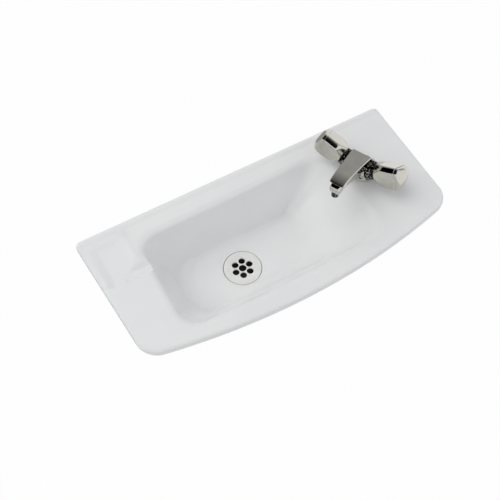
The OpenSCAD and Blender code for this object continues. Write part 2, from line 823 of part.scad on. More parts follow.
// Collar round the headwork, fluted along its length
module collar() {
    outer = boss_d / 2;
    flutes = 12;
    color("silver")
    translate([0, 0, boss_s])
        difference() {
            union() {
                cylinder(h = collar_len * 0.35, r = outer);
                translate([0, 0, collar_len * 0.35])
                    cylinder(h = collar_len * 0.65, r1 = outer, r2 = outer - 1.6);
            }
            translate([0, 0, -cut_over])
                cylinder(h = sealing_t + hex_h + cut_over + 0.5, r = hex_af / cos(30) / 2 + loose_gap);
            translate([0, 0, -cut_over]) cylinder(h = collar_len + 2 * cut_over, r = neck_r + loose_gap);
            for (i = [0 : flutes - 1])
                rotate([0, 0, (i + 0.5) * 360 / flutes])
                    translate([outer + 1.2, 0, collar_len * 0.35])
                        cylinder(h = collar_len, r = 2.2);
        }
}

// The handle's section: three flats and three blunt corners
function handle_section(k) =
    let (flat = handle_flat * k, corner = handle_corner * k)
    let (blunt = (2 * flat - corner) * tan(30))
    [for (i = [0 : 2])
        let (a = 60 + i * 120)
        each [for (side = [-1, 1])
            [corner * cos(a) - side * blunt * sin(a), corner * sin(a) + side * blunt * cos(a)]]];

module handle() {
    color("silver")
    difference() {
        intersection() {
            translate([0, 0, handle_s]) linear_extrude(handle_len) polygon(handle_section(1));
            union() {
                translate([0, 0, handle_s])
                    cylinder(h = handle_taper, r1 = handle_flat + 0.4, r2 = handle_corner + 1);
                translate([0, 0, handle_s + handle_taper])
                    cylinder(h = handle_len - handle_taper, r = handle_corner + 1);
            }
        }
        translate([0, 0, handle_s - cut_over]) cylinder(h = hub_s - handle_s + cut_over, r = hub_recess_r);
        translate([0, 0, handle_s - cut_over])
            cylinder(h = spindle_end_s + 1 - handle_s + cut_over, r = spindle_r + nut_gap);
        translate([0, 0, hub_s]) cylinder(h = handle_len, r = screw_r + loose_gap);
        difference() {
            translate([0, 0, pocket_s]) linear_extrude(handle_len) polygon(handle_section(pocket_k));
            translate([0, 0, pocket_s - cut_over]) cylinder(h = screw_seat_s - pocket_s + cut_over, r = hub_r);
        }
    }
}

module handle_screw() {
    color("silver")
    difference() {
        union() {
            translate([0, 0, screw_seat_s]) cylinder(h = screw_head_h, r = screw_head_r);
            translate([0, 0, screw_seat_s - screw_len]) cylinder(h = screw_len, r = screw_r);
        }
        for (a = [0, 90])
            translate([0, 0, screw_seat_s + screw_head_h - 0.7])
                rotate([0, 0, a]) cube([5, 1, 2], center = true);
    }
}

// Ring of the domed cap at angle a up from its edge: the handle's section, rounder towards the crown
function cap_ring(a) =
    let (s = handle_section(0.96), n = len(s))
    [for (i = [0 : n - 1], t = [0 : 0.25 : 0.75])
        let (p = mix(s[i], s[(i + 1) % n], t), q = mix(p, unit(p) * handle_flat, 1 - cos(a)))
        [q.x * cos(a), q.y * cos(a), cap_rise * sin(a) / sin(84)]];

module handle_cap() {
    color("silver")
    translate([0, 0, handle_end_s]) {
        difference() {
            translate([0, 0, -cap_plug_t])
                linear_extrude(cap_plug_t + 0.5) polygon(handle_section(cap_plug_k));
            translate([0, 0, -cap_plug_t - cut_over])
                linear_extrude(cap_plug_t + cut_over) polygon(handle_section(cap_plug_k - 0.14));
        }
        skin([for (a = [84 : -14 : 0]) cap_ring(a)]);
    }
}

// Head pieces placed on the tap, side -1 for hot and 1 for cold
module on_tap(side) {
    at_tap(0) at_head(side, 0) children();
}

module hot_headwork() { on_tap(-1) headwork(); }
module hot_sealing_ring() { on_tap(-1) sealing_ring(); }
module hot_seat_seal() { on_tap(-1) seat_seal(); }
module hot_fixed_disc() { on_tap(-1) fixed_disc(); }
module hot_moving_disc() { on_tap(-1) moving_disc(); }
module hot_spindle() { on_tap(-1) spindle(); }
module hot_collar() { on_tap(-1) collar(); }
module hot_handle() { on_tap(-1) handle(); }
module hot_handle_screw() { on_tap(-1) handle_screw(); }
module hot_handle_cap() { on_tap(-1) handle_cap(); }
module cold_headwork() { on_tap(1) headwork(); }
module cold_sealing_ring() { on_tap(1) sealing_ring(); }
module cold_seat_seal() { on_tap(1) seat_seal(); }
module cold_fixed_disc() { on_tap(1) fixed_disc(); }
module cold_moving_disc() { on_tap(1) moving_disc(); }
module cold_spindle() { on_tap(1) spindle(); }
module cold_collar() { on_tap(1) collar(); }
module cold_handle() { on_tap(1) handle(); }
module cold_handle_screw() { on_tap(1) handle_screw(); }
module cold_handle_cap() { on_tap(1) handle_cap(); }

basin();
waste_flange();
waste_top_seal();
waste_bottom_seal();
waste_slip_washer();
waste_backnut();
tap_body();
spout_nozzle();
nozzle_screen();
nozzle_washer();
tap_base_gasket();
fixing_stud();
clamp_rubber();
clamp_plate();
stud_nut();
hot_headwork();
hot_sealing_ring();
hot_seat_seal();
hot_fixed_disc();
hot_moving_disc();
hot_spindle();
hot_collar();
hot_handle();
hot_handle_screw();
hot_handle_cap();
cold_headwork();
cold_sealing_ring();
cold_seat_seal();
cold_fixed_disc();
cold_moving_disc();
cold_spindle();
cold_collar();
cold_handle();
cold_handle_screw();
cold_handle_cap();
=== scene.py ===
# %% [markdown]
# # A wall-hung hand basin with its mixer tap
#
# The object is a small glazed hand basin that hangs on a wall, with a chromed one-hole mixer and a
# chromed grid waste. The CAD model is loaded first and stays fixed. Every piece made here sits in the
# same frame: X runs along the wall, Y points into the wall and Z is up, in metres. The origin is midway
# between the two wall fixing holes.

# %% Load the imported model
import bpy
import json
import math
import numpy as np
from mathutils import Matrix, Vector


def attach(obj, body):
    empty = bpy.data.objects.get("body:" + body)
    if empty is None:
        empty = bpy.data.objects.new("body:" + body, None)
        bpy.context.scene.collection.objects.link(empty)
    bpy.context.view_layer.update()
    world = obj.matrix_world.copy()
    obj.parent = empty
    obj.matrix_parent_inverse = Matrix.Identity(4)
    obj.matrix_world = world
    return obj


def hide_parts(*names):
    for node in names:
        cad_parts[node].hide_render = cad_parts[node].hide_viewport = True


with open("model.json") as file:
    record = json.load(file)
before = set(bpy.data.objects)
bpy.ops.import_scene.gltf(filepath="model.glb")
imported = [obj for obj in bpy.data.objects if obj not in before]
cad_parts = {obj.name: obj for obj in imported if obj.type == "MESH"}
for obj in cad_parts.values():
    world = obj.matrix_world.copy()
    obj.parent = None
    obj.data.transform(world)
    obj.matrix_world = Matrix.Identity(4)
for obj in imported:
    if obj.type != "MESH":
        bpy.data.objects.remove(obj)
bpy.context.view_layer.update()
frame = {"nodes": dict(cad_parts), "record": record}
nodes = frame["nodes"]
print("CAD nodes:", len(nodes))

# %% [markdown]
# ## Camera
#
# The photograph looks down into the bowl from the front left. The place, direction and lens of this
# camera put the basin's outline, its bowl and its waste where the photograph has them. The sensor is
# 36 mm wide, so the lens follows from the focal length in pixels of a 500-pixel frame.

# %% Camera
MM = 0.001
RIM_Z = 60.0                       # height of the rim above the origin, in millimetres
FRAME_PIXELS = 500
FOCAL_PIXELS = 642
CAMERA_AZIMUTH = math.radians(30.2)
CAMERA_ELEVATION = math.radians(58.5)
CAMERA_TARGET = Vector((-49.5, -128.0, RIM_Z)) * MM
CAMERA_DISTANCE = 858.8 * MM

ahead = Vector((math.sin(CAMERA_AZIMUTH) * math.cos(CAMERA_ELEVATION),
                math.cos(CAMERA_AZIMUTH) * math.cos(CAMERA_ELEVATION),
                -math.sin(CAMERA_ELEVATION)))
right = Vector((math.cos(CAMERA_AZIMUTH), -math.sin(CAMERA_AZIMUTH), 0))
camera = bpy.data.objects.new("camera", bpy.data.cameras.new("camera"))
camera.data.sensor_width = 36
camera.data.lens = FOCAL_PIXELS / FRAME_PIXELS * camera.data.sensor_width
camera.matrix_world = (Matrix.Translation(CAMERA_TARGET - ahead * CAMERA_DISTANCE)
                       @ Matrix((right, right.cross(ahead), -ahead)).transposed().to_4x4())
bpy.context.scene.collection.objects.link(camera)
bpy.context.scene.camera = camera
print("camera at", [round(v, 3) for v in camera.matrix_world.translation])

# %% [markdown]
# ## Materials
#
# Each finish is a node material. One function turns a hex colour into linear light, and one adds a node
# with its settings and links. All patterns read Object coordinates, in metres, so a noise scale of 1000
# divided by a size in millimetres gives spots of that size.


# %% Helpers for materials
def hex_colour(code):
    channels = [int(code[i:i + 2], 16) / 255 for i in (1, 3, 5)]
    return [c / 12.92 if c <= 0.04045 else ((c + 0.055) / 1.055) ** 2.4 for c in channels] + [1.0]


def add_node(tree, kind, settings=None, inputs=None, links=None):
    node = tree.nodes.new(kind)
    for name, value in (settings or {}).items():
        setattr(node, name, value)
    for name, value in (inputs or {}).items():
        node.inputs[name].default_value = value
    for name, socket in (links or {}).items():
        tree.links.new(socket, node.inputs[name])
    return node


def finish_material(name, colours, metallic, roughness, spot_mm, bump_mm, grain_mm, shader=None,
                    span=(0.3, 0.7)):
    """A finish with two colours and two roughness values, mixed by a noise, and a fine bump.

    The sizes are those of the colour spots, the bump's height and the bump's grain. The span is the
    stretch of the noise over which the first colour turns into the second."""
    material = bpy.data.materials.new(name)
    material.use_nodes = True
    tree = material.node_tree
    principled = tree.nodes["Principled BSDF"]
    place = add_node(tree, "ShaderNodeTexCoord").outputs["Object"]
    noise = add_node(tree, "ShaderNodeTexNoise", {}, {"Scale": 1000 / spot_mm, "Detail": 3.0},
                     {"Vector": place}).outputs["Fac"]
    spots = add_node(tree, "ShaderNodeMapRange", {}, {"From Min": span[0], "From Max": span[1]},
                     {"Value": noise}).outputs["Result"]
    colour = add_node(tree, "ShaderNodeMix", {"data_type": "RGBA"},
                      {6: hex_colour(colours[0]), 7: hex_colour(colours[1])}, {0: spots})
    rough = add_node(tree, "ShaderNodeMapRange", {}, {"To Min": roughness[0], "To Max": roughness[1]},
                     {"Value": spots})
    grain = add_node(tree, "ShaderNodeTexNoise", {}, {"Scale": 1000 / grain_mm, "Detail": 2.0},
                     {"Vector": place}).outputs["Fac"]
    bump = add_node(tree, "ShaderNodeBump", {}, {"Distance": bump_mm * MM, "Strength": 1.0},
                    {"Height": grain})
    tree.links.new(colour.outputs[2], principled.inputs["Base Color"])
    tree.links.new(rough.outputs["Result"], principled.inputs["Roughness"])
    tree.links.new(bump.outputs["Normal"], principled.inputs["Normal"])
    principled.inputs["Metallic"].default_value = metallic
    for socket, value in (shader or {}).items():
        principled.inputs[socket].default_value = value
    return material


print("mid grey in linear light:", round(hex_colour("#808080")[0], 3))

# %% [markdown]
# ## Finishes
#
# Each finish below is named for the real one and starts from that material's usual gloss. The real grain
# of polished metal and of lapped ceramic is far finer than a pixel, so it is drawn as coarse as it needs
# to be to show up close.

# %% Finishes
# Fired clay under a clear glass glaze: white, glossy, with the slow waves that a poured glaze keeps.
glazed_china = finish_material("glazed vitreous china", ("#F5F5F6", "#F8F8F8"), metallic=0.0,
                               roughness=(0.16, 0.22), spot_mm=60, bump_mm=0.01, grain_mm=14,
                               shader={"IOR": 1.5})
# Bright nickel and chromium plate on buffed brass: a sharp mirror, a little warm and olive in the shade.
polished_chrome = finish_material("polished chrome on brass", ("#C6C4BB", "#CECCC4"), metallic=1.0,
                                  roughness=(0.03, 0.06), spot_mm=9, bump_mm=0.002, grain_mm=5)
# The plate of the waste, with its reflection of the white surroundings painted in: a near-white colour
# with little mirror, so it stays pale from every side.
painted_reflection_chrome = finish_material("chrome with painted pale reflection", ("#F6F6F2", "#FCFCFA"), metallic=0.08,
                               roughness=(0.12, 0.25), spot_mm=6, bump_mm=0.003, grain_mm=2)
# Plate on small faces, with painted light: near-black as painted shade and dark reflection, and bright
# specks of noise as painted glints.
dark_chrome = finish_material("chrome with painted shade and glints", ("#080808", "#D8D6D0"), metallic=1.0,
                              roughness=(0.05, 0.1), spot_mm=1.6, bump_mm=0.004, grain_mm=2,
                              span=(0.56, 0.66))
# Bare brass straight from the lathe: yellow, with soft reflections broken by the tool marks.
machined_brass = finish_material("machined brass", ("#B08D4A", "#C29F5C"), metallic=1.0,
                                 roughness=(0.25, 0.35), spot_mm=4, bump_mm=0.004, grain_mm=1)
# Steel with a thin zinc coat: a grey metal, blurred and slightly cloudy.
zinc_steel = finish_material("zinc-plated steel", ("#8F9296", "#A5A7A8"), metallic=1.0,
                             roughness=(0.3, 0.42), spot_mm=4, bump_mm=0.004, grain_mm=1.5)
# Moulded seal rubber: nearly black and dull, with a fine pebbled skin.
black_rubber = finish_material("black nitrile rubber", ("#161616", "#1E1D1C"), metallic=0.0,
                               roughness=(0.6, 0.75), spot_mm=3, bump_mm=0.01, grain_mm=0.8)
# A softer pad rubber: mid grey and dull.
grey_rubber = finish_material("grey moulded rubber", ("#4A4A4A", "#555453"), metallic=0.0,
                              roughness=(0.6, 0.75), spot_mm=3, bump_mm=0.01, grain_mm=0.8)
# Moulded nylon: a warm white with a low sheen.
white_nylon = finish_material("white moulded nylon", ("#DAD7CC", "#E3E0D6"), metallic=0.0,
                              roughness=(0.35, 0.45), spot_mm=5, bump_mm=0.005, grain_mm=1.2)
# Pressed paper fibre: brick red, flecked and without gloss.
red_fibre = finish_material("pressed red fibre", ("#7E2A1E", "#8F3425"), metallic=0.0,
                            roughness=(0.7, 0.85), spot_mm=1, bump_mm=0.01, grain_mm=0.4)
# Alumina lapped flat: an off-white ceramic, almost a mirror.
lapped_alumina = finish_material("lapped alumina", ("#E6E5DF", "#EDEDE8"), metallic=0.0,
                                 roughness=(0.1, 0.16), spot_mm=4, bump_mm=0.001, grain_mm=1)

# The record names a slot for each CAD piece, and this table says which finish the slot gets.
slot_materials = {
    "ceramic": glazed_china, "chrome": polished_chrome, "dark_chrome": dark_chrome, "brass": machined_brass,
    "steel": zinc_steel, "black_rubber": black_rubber, "grey_rubber": grey_rubber,
    "white_plastic": white_nylon, "red_fibre": red_fibre, "white_alumina": lapped_alumina,
}
for part in frame["record"]["subparts"]:
    mesh = nodes[part["node"]].data
    mesh.materials.clear()
    mesh.materials.append(slot_materials[part["material_slot"]])
print("slots of the record with a finish:", len(slot_materials))

# %% [markdown]
# ## Skins
#
# A cast or slip-cast piece has no straight edges, so most pieces here are skins: a list of closed rings
# with the same number of points, joined ring to ring. One function makes the mesh, so that every piece
# is closed and its faces point outwards.


# %% Helpers for meshes
def put(name, mesh, material):
    obj = bpy.data.objects.new(name, mesh)
    bpy.context.scene.collection.objects.link(obj)
    mesh.materials.clear()
    mesh.materials.append(material)
    return obj


def skin(name, rings, material, loop=False):
    """Rings of points in millimetres, joined in order. Open ends get a fan round a middle point."""
    count, size = len(rings), len(rings[0])
    points = [p for ring in rings for p in ring]
    faces = [(k * size + i, k * size + (i + 1) % size,
              (k + 1) % count * size + (i + 1) % size, (k + 1) % count * size + i)
             for k in range(count if loop else count - 1) for i in range(size)]
    if not loop:
        for ring, flip in ((0, True), (count - 1, False)):
            middle = len(points)
            points.append(np.mean(rings[ring], axis=0))
            for i in range(size):
                a, b = ring * size + i, ring * size + (i + 1) % size
                faces.append((b, a, middle) if flip else (a, b, middle))
    mesh = bpy.data.meshes.new(name)
    mesh.from_pydata((np.array(points, float) * MM).tolist(), [], faces)
    mesh.update()
    obj = put(name, mesh, material)
    turn_outwards(obj)
    return obj


def turn_outwards(obj):
    """Faces of a closed mesh point outwards when its signed volume is positive."""
    mesh = obj.data
    corners = np.zeros(len(mesh.vertices) * 3)
    mesh.vertices.foreach_get("co", corners)
    corners = corners.reshape(-1, 3)
    mesh.calc_loop_triangles()
    triangles = np.zeros(len(mesh.loop_triangles) * 3, int)
    mesh.loop_triangles.foreach_get("vertices", triangles)
    a, b, c = (corners[triangles.reshape(-1, 3)[:, i]] for i in range(3))
    if np.einsum("ij,ij->i", a, np.cross(b, c)).sum() < 0:
        mesh.flip_normals()


def apply_modifiers(obj):
    """Replaces the mesh by its evaluated copy and takes the modifiers off."""
    evaluated = obj.evaluated_get(bpy.context.evaluated_depsgraph_get())
    mesh = bpy.data.meshes.new_from_object(evaluated)
    obj.modifiers.clear()
    old, obj.data = obj.data, mesh
    bpy.data.meshes.remove(old)
    return obj


def combine(obj, others, operation):
    """Boolean of a closed mesh with others, which are then removed."""
    for other in others:
        modifier = obj.modifiers.new("combine", "BOOLEAN")
        modifier.operation, modifier.solver, modifier.object = operation, "MANIFOLD", other
    apply_modifiers(obj)
    for other in others:
        bpy.data.objects.remove(other)
    return obj


def smooth(obj, angle=35):
    """Smooth shading, with edges sharper than the angle kept sharp."""
    obj.data.shade_smooth()
    obj.data.set_sharp_from_angle(angle=math.radians(angle))
    return obj


helpers = (put, skin, turn_outwards, apply_modifiers, combine, smooth)
print("mesh helpers:", ", ".join(helper.__name__ for helper in helpers))

# %% [markdown]
# ## Basin outlines
#
# In plan the basin is a four-sided shape with rounded corners and a bowed front edge, and so is each
# level of the bowl. One function rounds the corners with true arcs and another bows the front. The
# bowl's walls come in with depth by a lip arc, a straight draft and a foot arc, as in the CAD model,
# but with far more rings and points, so that the glaze reflects smoothly. The photograph shows the left
# and front walls as soft bands, so inside the bowl they slope more gently than in the CAD model, and the
# back corner of the ramp tightens with depth. The underside keeps the CAD model's walls.

# %% Sizes of the basin
BASIN_W, FRONT_W, SIDE_D, FRONT_BOW = 500, 473, 195, 28.5
BACK_CORNER_R, FRONT_CORNER_R, LEAST_CORNER_R = 8, 24, 3
BACK_RELIEF = 0.5                  # how far the rim's back stands clear of the wall
RIM_T, RIM_EDGE_R, BEAD_H, BEAD_W = 12, 4, 1.8, 10
BOWL_LEFT, BOWL_RIGHT, BOWL_BACK, BOWL_FRONT, BOWL_BOW = 181, 136, 32, 193, 8
BOWL_DEPTH, FLOOR_Z, WALL_T = 80, -84, 9
LEFT_R, RIGHT_R, VALLEY_R = 25, 40, 36      # plan radii: left corners, right ones, ramp's back corner
CORNER_GROWTH = 10                 # how much wider the left corners are at the foot of the walls
VALLEY_SHARPENING = 26             # how much tighter the ramp's back corner is at the foot
LEFT_WALL, BACK_WALL = (6, 16, 20), (6, 15, 10)      # lip radius, draft in degrees, foot radius
FRONT_WALL, RAMP = (6, 18, 20), (14, 42, 40)
SOFT_LEFT, SOFT_FRONT = (8, 26, 26), (8, 31, 18)     # the gentler slopes inside the bowl
GLAZED_LIP = 4                     # how much glaze and fettling add to the lip's radius
CORNER_STEPS = 20
EDGE_POINTS = (80, 130, 60, 170)   # left, front, right and back edges
print("bowl in mm at the rim:", BOWL_LEFT + BOWL_RIGHT, "by", BOWL_FRONT - BOWL_BACK)


# %% Outlines
def corner_arc(before, corner, after, radius, steps):
    """Points of a true arc that rounds a corner, from the side before it to the side after it."""
    u, v = before - corner, after - corner
    u, v = u / np.linalg.norm(u), v / np.linalg.norm(v)
    half = math.acos(float(np.clip(u @ v, -1, 1))) / 2
    reach, weight = radius / math.tan(half), math.sin(half)
    s = np.linspace(0, 1, steps + 1)[:, None]
    k0, k1, k2 = (1 - s) ** 2, 2 * weight * s * (1 - s), s ** 2
    return ((corner + u * reach) * k0 + corner * k1 + (corner + v * reach) * k2) / (k0 + k1 + k2)


def rounded_quad(corners, radii, steps, points):
    """Four-sided outline with rounded corners and a number of points along each side."""
    corners = np.array(corners, float)
    arcs = [corner_arc(corners[i - 1], corners[i], corners[(i + 1) % 4], radii[i], steps) for i in range(4)]
    outline = []
    for i in range(4):
        start, end = arcs[i][-1], arcs[(i + 1) % 4][0]
        shares = np.arange(1, points[i] + 1)[:, None] / (points[i] + 1)
        outline += [arcs[i], start + (end - start) * shares]
    return np.concatenate(outline)


def bowed(outline, bow, half_w, back_y, front_y):
    """Moves an outline forward in a parabola: fully at its front, not at all at its back."""
    share = np.clip((back_y - outline[:, 1]) / (back_y - front_y), 0, 1)
    drop = bow * share * np.maximum(0, 1 - (outline[:, 0] / half_w) ** 2)
    return np.column_stack([outline[:, 0], outline[:, 1] - drop])


def wall_in(depth, wall, bottom=BOWL_DEPTH):
    """Inset of a wall at a depth. The softer lip starts further out, so that the wall keeps its place."""
    lip, draft, foot = wall
    turn = math.radians(90 - draft)
    start = -GLAZED_LIP * (math.sin(turn) - (1 - math.cos(turn)) / math.tan(turn))
    lip += GLAZED_LIP
    lip_z, foot_z = lip * (1 - math.cos(turn)), bottom - foot * (1 - math.cos(turn))
    if depth <= lip_z:
        return start + lip * math.sin(math.acos(1 - depth / lip))
    inset = start + lip * math.sin(turn) + (min(depth, foot_z) - lip_z) / math.tan(turn)
    if depth > foot_z:
        inset += foot * (math.sin(turn) - math.sin(math.acos(min(1, 1 - (bottom - depth) / foot))))
    return inset


def bowl_outline(depth, thickness=0):
    """The bowl's outline at a depth: its inside, or for a thickness of china its underside."""
    left_wall, front_wall = (LEFT_WALL, FRONT_WALL) if thickness else (SOFT_LEFT, SOFT_FRONT)

    def place(edge, wall):
        return edge - wall_in(depth, wall) + thickness / math.cos(math.radians(wall[1]))
    left, right = -place(BOWL_LEFT, left_wall), place(BOWL_RIGHT, RAMP)
    back, front = -BOWL_BACK - wall_in(depth, BACK_WALL), -place(BOWL_FRONT, front_wall)
    back += thickness / math.cos(math.radians(BACK_WALL[1]))
    growth = CORNER_GROWTH * depth / BOWL_DEPTH + thickness
    left_r, right_r = LEFT_R + growth, RIGHT_R + growth / 2
    valley = right_r if thickness else VALLEY_R - VALLEY_SHARPENING * depth / BOWL_DEPTH
    room = (back - front) / 2 - 1
    radii = [min(r, room) for r in (left_r, left_r, right_r, valley)]
    quad = ((left, back), (left, front), (right, front), (right, back))
    return bowed(rounded_quad(quad, radii, CORNER_STEPS, EDGE_POINTS), BOWL_BOW, BOWL_LEFT, back, front)


def plan_outline(inset, wall_inset=0):
    """The basin's outline, drawn in by the inset, and by the wall inset along the wall."""
    back, front = BASIN_W / 2 - inset, FRONT_W / 2 - inset
    back_y, front_y = -BACK_RELIEF - wall_inset, -SIDE_D + inset
    back_r, front_r = (max(r - inset, LEAST_CORNER_R) for r in (BACK_CORNER_R, FRONT_CORNER_R))
    quad = ((-back, back_y), (-front, front_y), (front, front_y), (back, back_y))
    outline = rounded_quad(quad, (back_r, front_r, front_r, back_r), CORNER_STEPS, EDGE_POINTS)
    return bowed(outline, FRONT_BOW, front, back_y, front_y)


def level(outline, z):
    """Puts an outline at a height, which may differ from point to point."""
    return np.column_stack([outline, np.broadcast_to(z, len(outline))])


print("points round the basin:", len(plan_outline(0)))

# %% [markdown]
# ## Relief of the ledge
#
# The ledge round the bowl isn't flat. A bead runs along the wall, a rib branches off it, and left of the
# rib lies the soap tray, whose floor falls to the front and drains into the bowl through a channel. The
# relief is a height for each point of the plan. Soft minimum and maximum join the parts with the rounded
# edges that a glaze gives, where a boolean cut would leave knife edges.

# %% Relief
TRAY_X, TRAY_Y, TRAY_R = (-238.0, -192.0), (-93.0, -17.0), 11
TRAY_DEPTH = (2.5, 6.0)            # at its back and at its front
TRAY_STEP = (1.5, 14)              # where the step down starts outside the tray, and its width
CHANNEL_X, CHANNEL_Y, CHANNEL_R = (-215.0, -120.0), (-93.0, -69.0), 5
CHANNEL_DEPTH, CHANNEL_STEP = 5.5, (2, 10)
CHANNEL_CLEAR = 3                  # how far over the ledge the channel's form ends beside it
CHANNEL_BLEND = 2.5                # how wide the channel's edges are rounded
RIB_X, RIB_START_Y, RIB_END_Y, RIB_H, RIB_HALF_W, RIB_SPREAD = -186.5, -7, -63.5, 1.1, 5.5, 1.15


def soft_step(t):
    """Rises from 0 to 1 without a corner."""
    t = np.clip(t, 0, 1)
    return t * t * (3 - 2 * t)


def soft_min(a, b, r):
    """The lesser of two heights, blended where they differ by less than r."""
    h = np.clip(0.5 + 0.5 * (b - a) / r, 0, 1)
    return b + (a - b) * h - r * h * (1 - h)


def box_distance(x, y, x_span, y_span, corner_r):
    """Distance outside a rounded rectangle, negative inside it."""
    dx = np.abs(x - sum(x_span) / 2) - (x_span[1] - x_span[0]) / 2 + corner_r
    dy = np.abs(y - sum(y_span) / 2) - (y_span[1] - y_span[0]) / 2 + corner_r
    return np.hypot(np.maximum(dx, 0), np.maximum(dy, 0)) + np.minimum(np.maximum(dx, dy), 0) - corner_r


def with_relief(ring):
    """Raises the rib and sinks the tray and its channel in a ring of points of the ledge."""
    x, y, z = ring.T
    along = np.maximum(np.maximum(y - RIB_START_Y, RIB_END_Y - y), 0)
    on_ledge = soft_step(1 + z)
    z = z + RIB_H * soft_step(RIB_SPREAD - np.hypot(x - RIB_X, along) / RIB_HALF_W) * on_ledge
    fall = np.clip((TRAY_Y[1] - y) / (TRAY_Y[1] - TRAY_Y[0]), 0, 1)
    floor = TRAY_DEPTH[0] + (TRAY_DEPTH[1] - TRAY_DEPTH[0]) * fall
    outside = box_distance(x, y, TRAY_X, TRAY_Y, TRAY_R)
    z = z - floor * soft_step((TRAY_STEP[0] - outside) / TRAY_STEP[1]) * on_ledge
    outside = box_distance(x, y, CHANNEL_X, CHANNEL_Y, CHANNEL_R)
    open_share = soft_step((CHANNEL_STEP[0] - outside) / CHANNEL_STEP[1])
    channel = -CHANNEL_DEPTH + (1 - open_share) * (CHANNEL_DEPTH + CHANNEL_CLEAR)
    return np.column_stack([x, y, soft_min(z, channel, CHANNEL_BLEND)])


print("tray depth in mm at its back and front:", TRAY_DEPTH)

# %% [markdown]
# ## Basin
#
# The whole basin is one closed skin that starts in the waste hole, climbs the bowl, crosses the ledge,
# goes over the rim and returns underneath to the waste hole. The wall panel and its two webs are joined
# to it, because on the real basin they are cast in one piece with it.

# %% Rings from the waste hole up the bowl
WASTE_FROM_LEFT, WASTE_FROM_BACK = 133, 72
WASTE_X, WASTE_Y = WASTE_FROM_LEFT - BOWL_LEFT, -BOWL_BACK - WASTE_FROM_BACK
RECESS_R, RECESS_Z, WASTE_HOLE_R = 28.7, -88.0, 22.95
BOSS_R, BOSS_Z, UNDER_FILLET = 33, -104, 4
FLOOR_STEPS, FOOT_STEPS, WALL_STEPS, LIP_STEPS, LEDGE_STEPS = 12, 10, 13, 12, 34


def waste_ring(outline, r, z):
    """A circle round the waste, with its points in the directions of the outline's points."""
    away = outline[:, :2] - (WASTE_X, WASTE_Y)
    away /= np.linalg.norm(away, axis=1)[:, None]
    return level(away * r + (WASTE_X, WASTE_Y), z)


def arc_depths(radius, steps, turn=90 - LEFT_WALL[1]):
    """Depths at equal steps of an arc from level to the slope of the left wall."""
    return [radius * (1 - math.cos(math.radians(turn * k / steps))) for k in range(steps + 1)]


foot_line = bowl_outline(BOWL_DEPTH)
recess_profile = [(WASTE_HOLE_R, BOSS_Z + 1.5), (WASTE_HOLE_R, RECESS_Z - 1),
                  (WASTE_HOLE_R + 0.3, RECESS_Z - 0.3), (WASTE_HOLE_R + 1, RECESS_Z),
                  (RECESS_R - 1, RECESS_Z), (RECESS_R - 0.3, RECESS_Z + 0.3), (RECESS_R, RECESS_Z + 1),
                  (RECESS_R, FLOOR_Z - 1.6), (RECESS_R + 0.25, FLOOR_Z - 0.8),
                  (RECESS_R + 0.8, FLOOR_Z - 0.25), (RECESS_R + 1.6, FLOOR_Z)]
rings = [waste_ring(foot_line, r, z) for r, z in recess_profile]
drain, foot = rings[-1], level(foot_line, -BOWL_DEPTH)
for t in np.linspace(0, 1, FLOOR_STEPS)[1:-1]:
    ring = drain + (foot - drain) * t
    ring[:, 2] = FLOOR_Z + (-BOWL_DEPTH - FLOOR_Z) * t * (2 - t)
    rings.append(ring)
foot_depths = [BOWL_DEPTH - d for d in arc_depths(LEFT_WALL[2], FOOT_STEPS)]
lip_depths = arc_depths(LEFT_WALL[0] + GLAZED_LIP, LIP_STEPS)
wall_depths = list(np.linspace(foot_depths[-1], lip_depths[-1], WALL_STEPS))[1:-1]
for depth in foot_depths + wall_depths + lip_depths[::-1]:
    rings.append(level(bowl_outline(depth), -depth))
print("rings up to the bowl's lip:", len(rings))

# %% Rings across the ledge and over the rim
LEDGE_INSET, BEAD_INSET = RIM_EDGE_R + 3, BEAD_W + 3
ledge_start, ledge_end = rings[-1], level(plan_outline(LEDGE_INSET, BEAD_INSET), 0)
for t in np.linspace(0, 1, LEDGE_STEPS)[1:-1]:
    rings.append(ledge_start + (ledge_end - ledge_start) * t)


def rim_ring(inset, z, wall_inset, wall_z):
    """A ring of the rim, with an inset and a height of its own along the wall."""
    outline = plan_outline(inset, wall_inset)
    share = np.clip(1 + (outline[:, 1] + BACK_RELIEF + wall_inset) / BACK_CORNER_R, 0, 1)
    return level(outline, z + (wall_z - z) * share)


for t in np.linspace(0, 1, 9):
    wall_inset = BEAD_INSET + (RIM_EDGE_R - BEAD_INSET) * t
    bead = BEAD_H * math.sin(math.pi * min(1, t * 0.85) * 0.75) ** 1.5
    rings.append(rim_ring(LEDGE_INSET + (RIM_EDGE_R - LEDGE_INSET) * t, 0, wall_inset, bead))
edge_bead = bead
for turn in range(15, 91, 15):
    inset = RIM_EDGE_R * (1 - math.sin(math.radians(turn)))
    z = -RIM_EDGE_R * (1 - math.cos(math.radians(turn)))
    rings.append(rim_ring(inset, z, inset, z + edge_bead * math.cos(math.radians(turn))))
for inset, z in ((0, -RIM_T + 2), (0.3, -RIM_T + 1), (0.9, -RIM_T + 0.3), (2.2, -RIM_T)):
    rings.append(rim_ring(inset, z, inset, z))
print("rings down to the rim's lower edge:", len(rings))


# %% Rings back underneath, and the skin
def under_outline(depth, growth=0):
    """The bowl's outline under its china at a depth below the rim, wider by the growth."""
    return bowl_outline(depth * BOWL_DEPTH / (BOWL_DEPTH + WALL_T), WALL_T + growth)


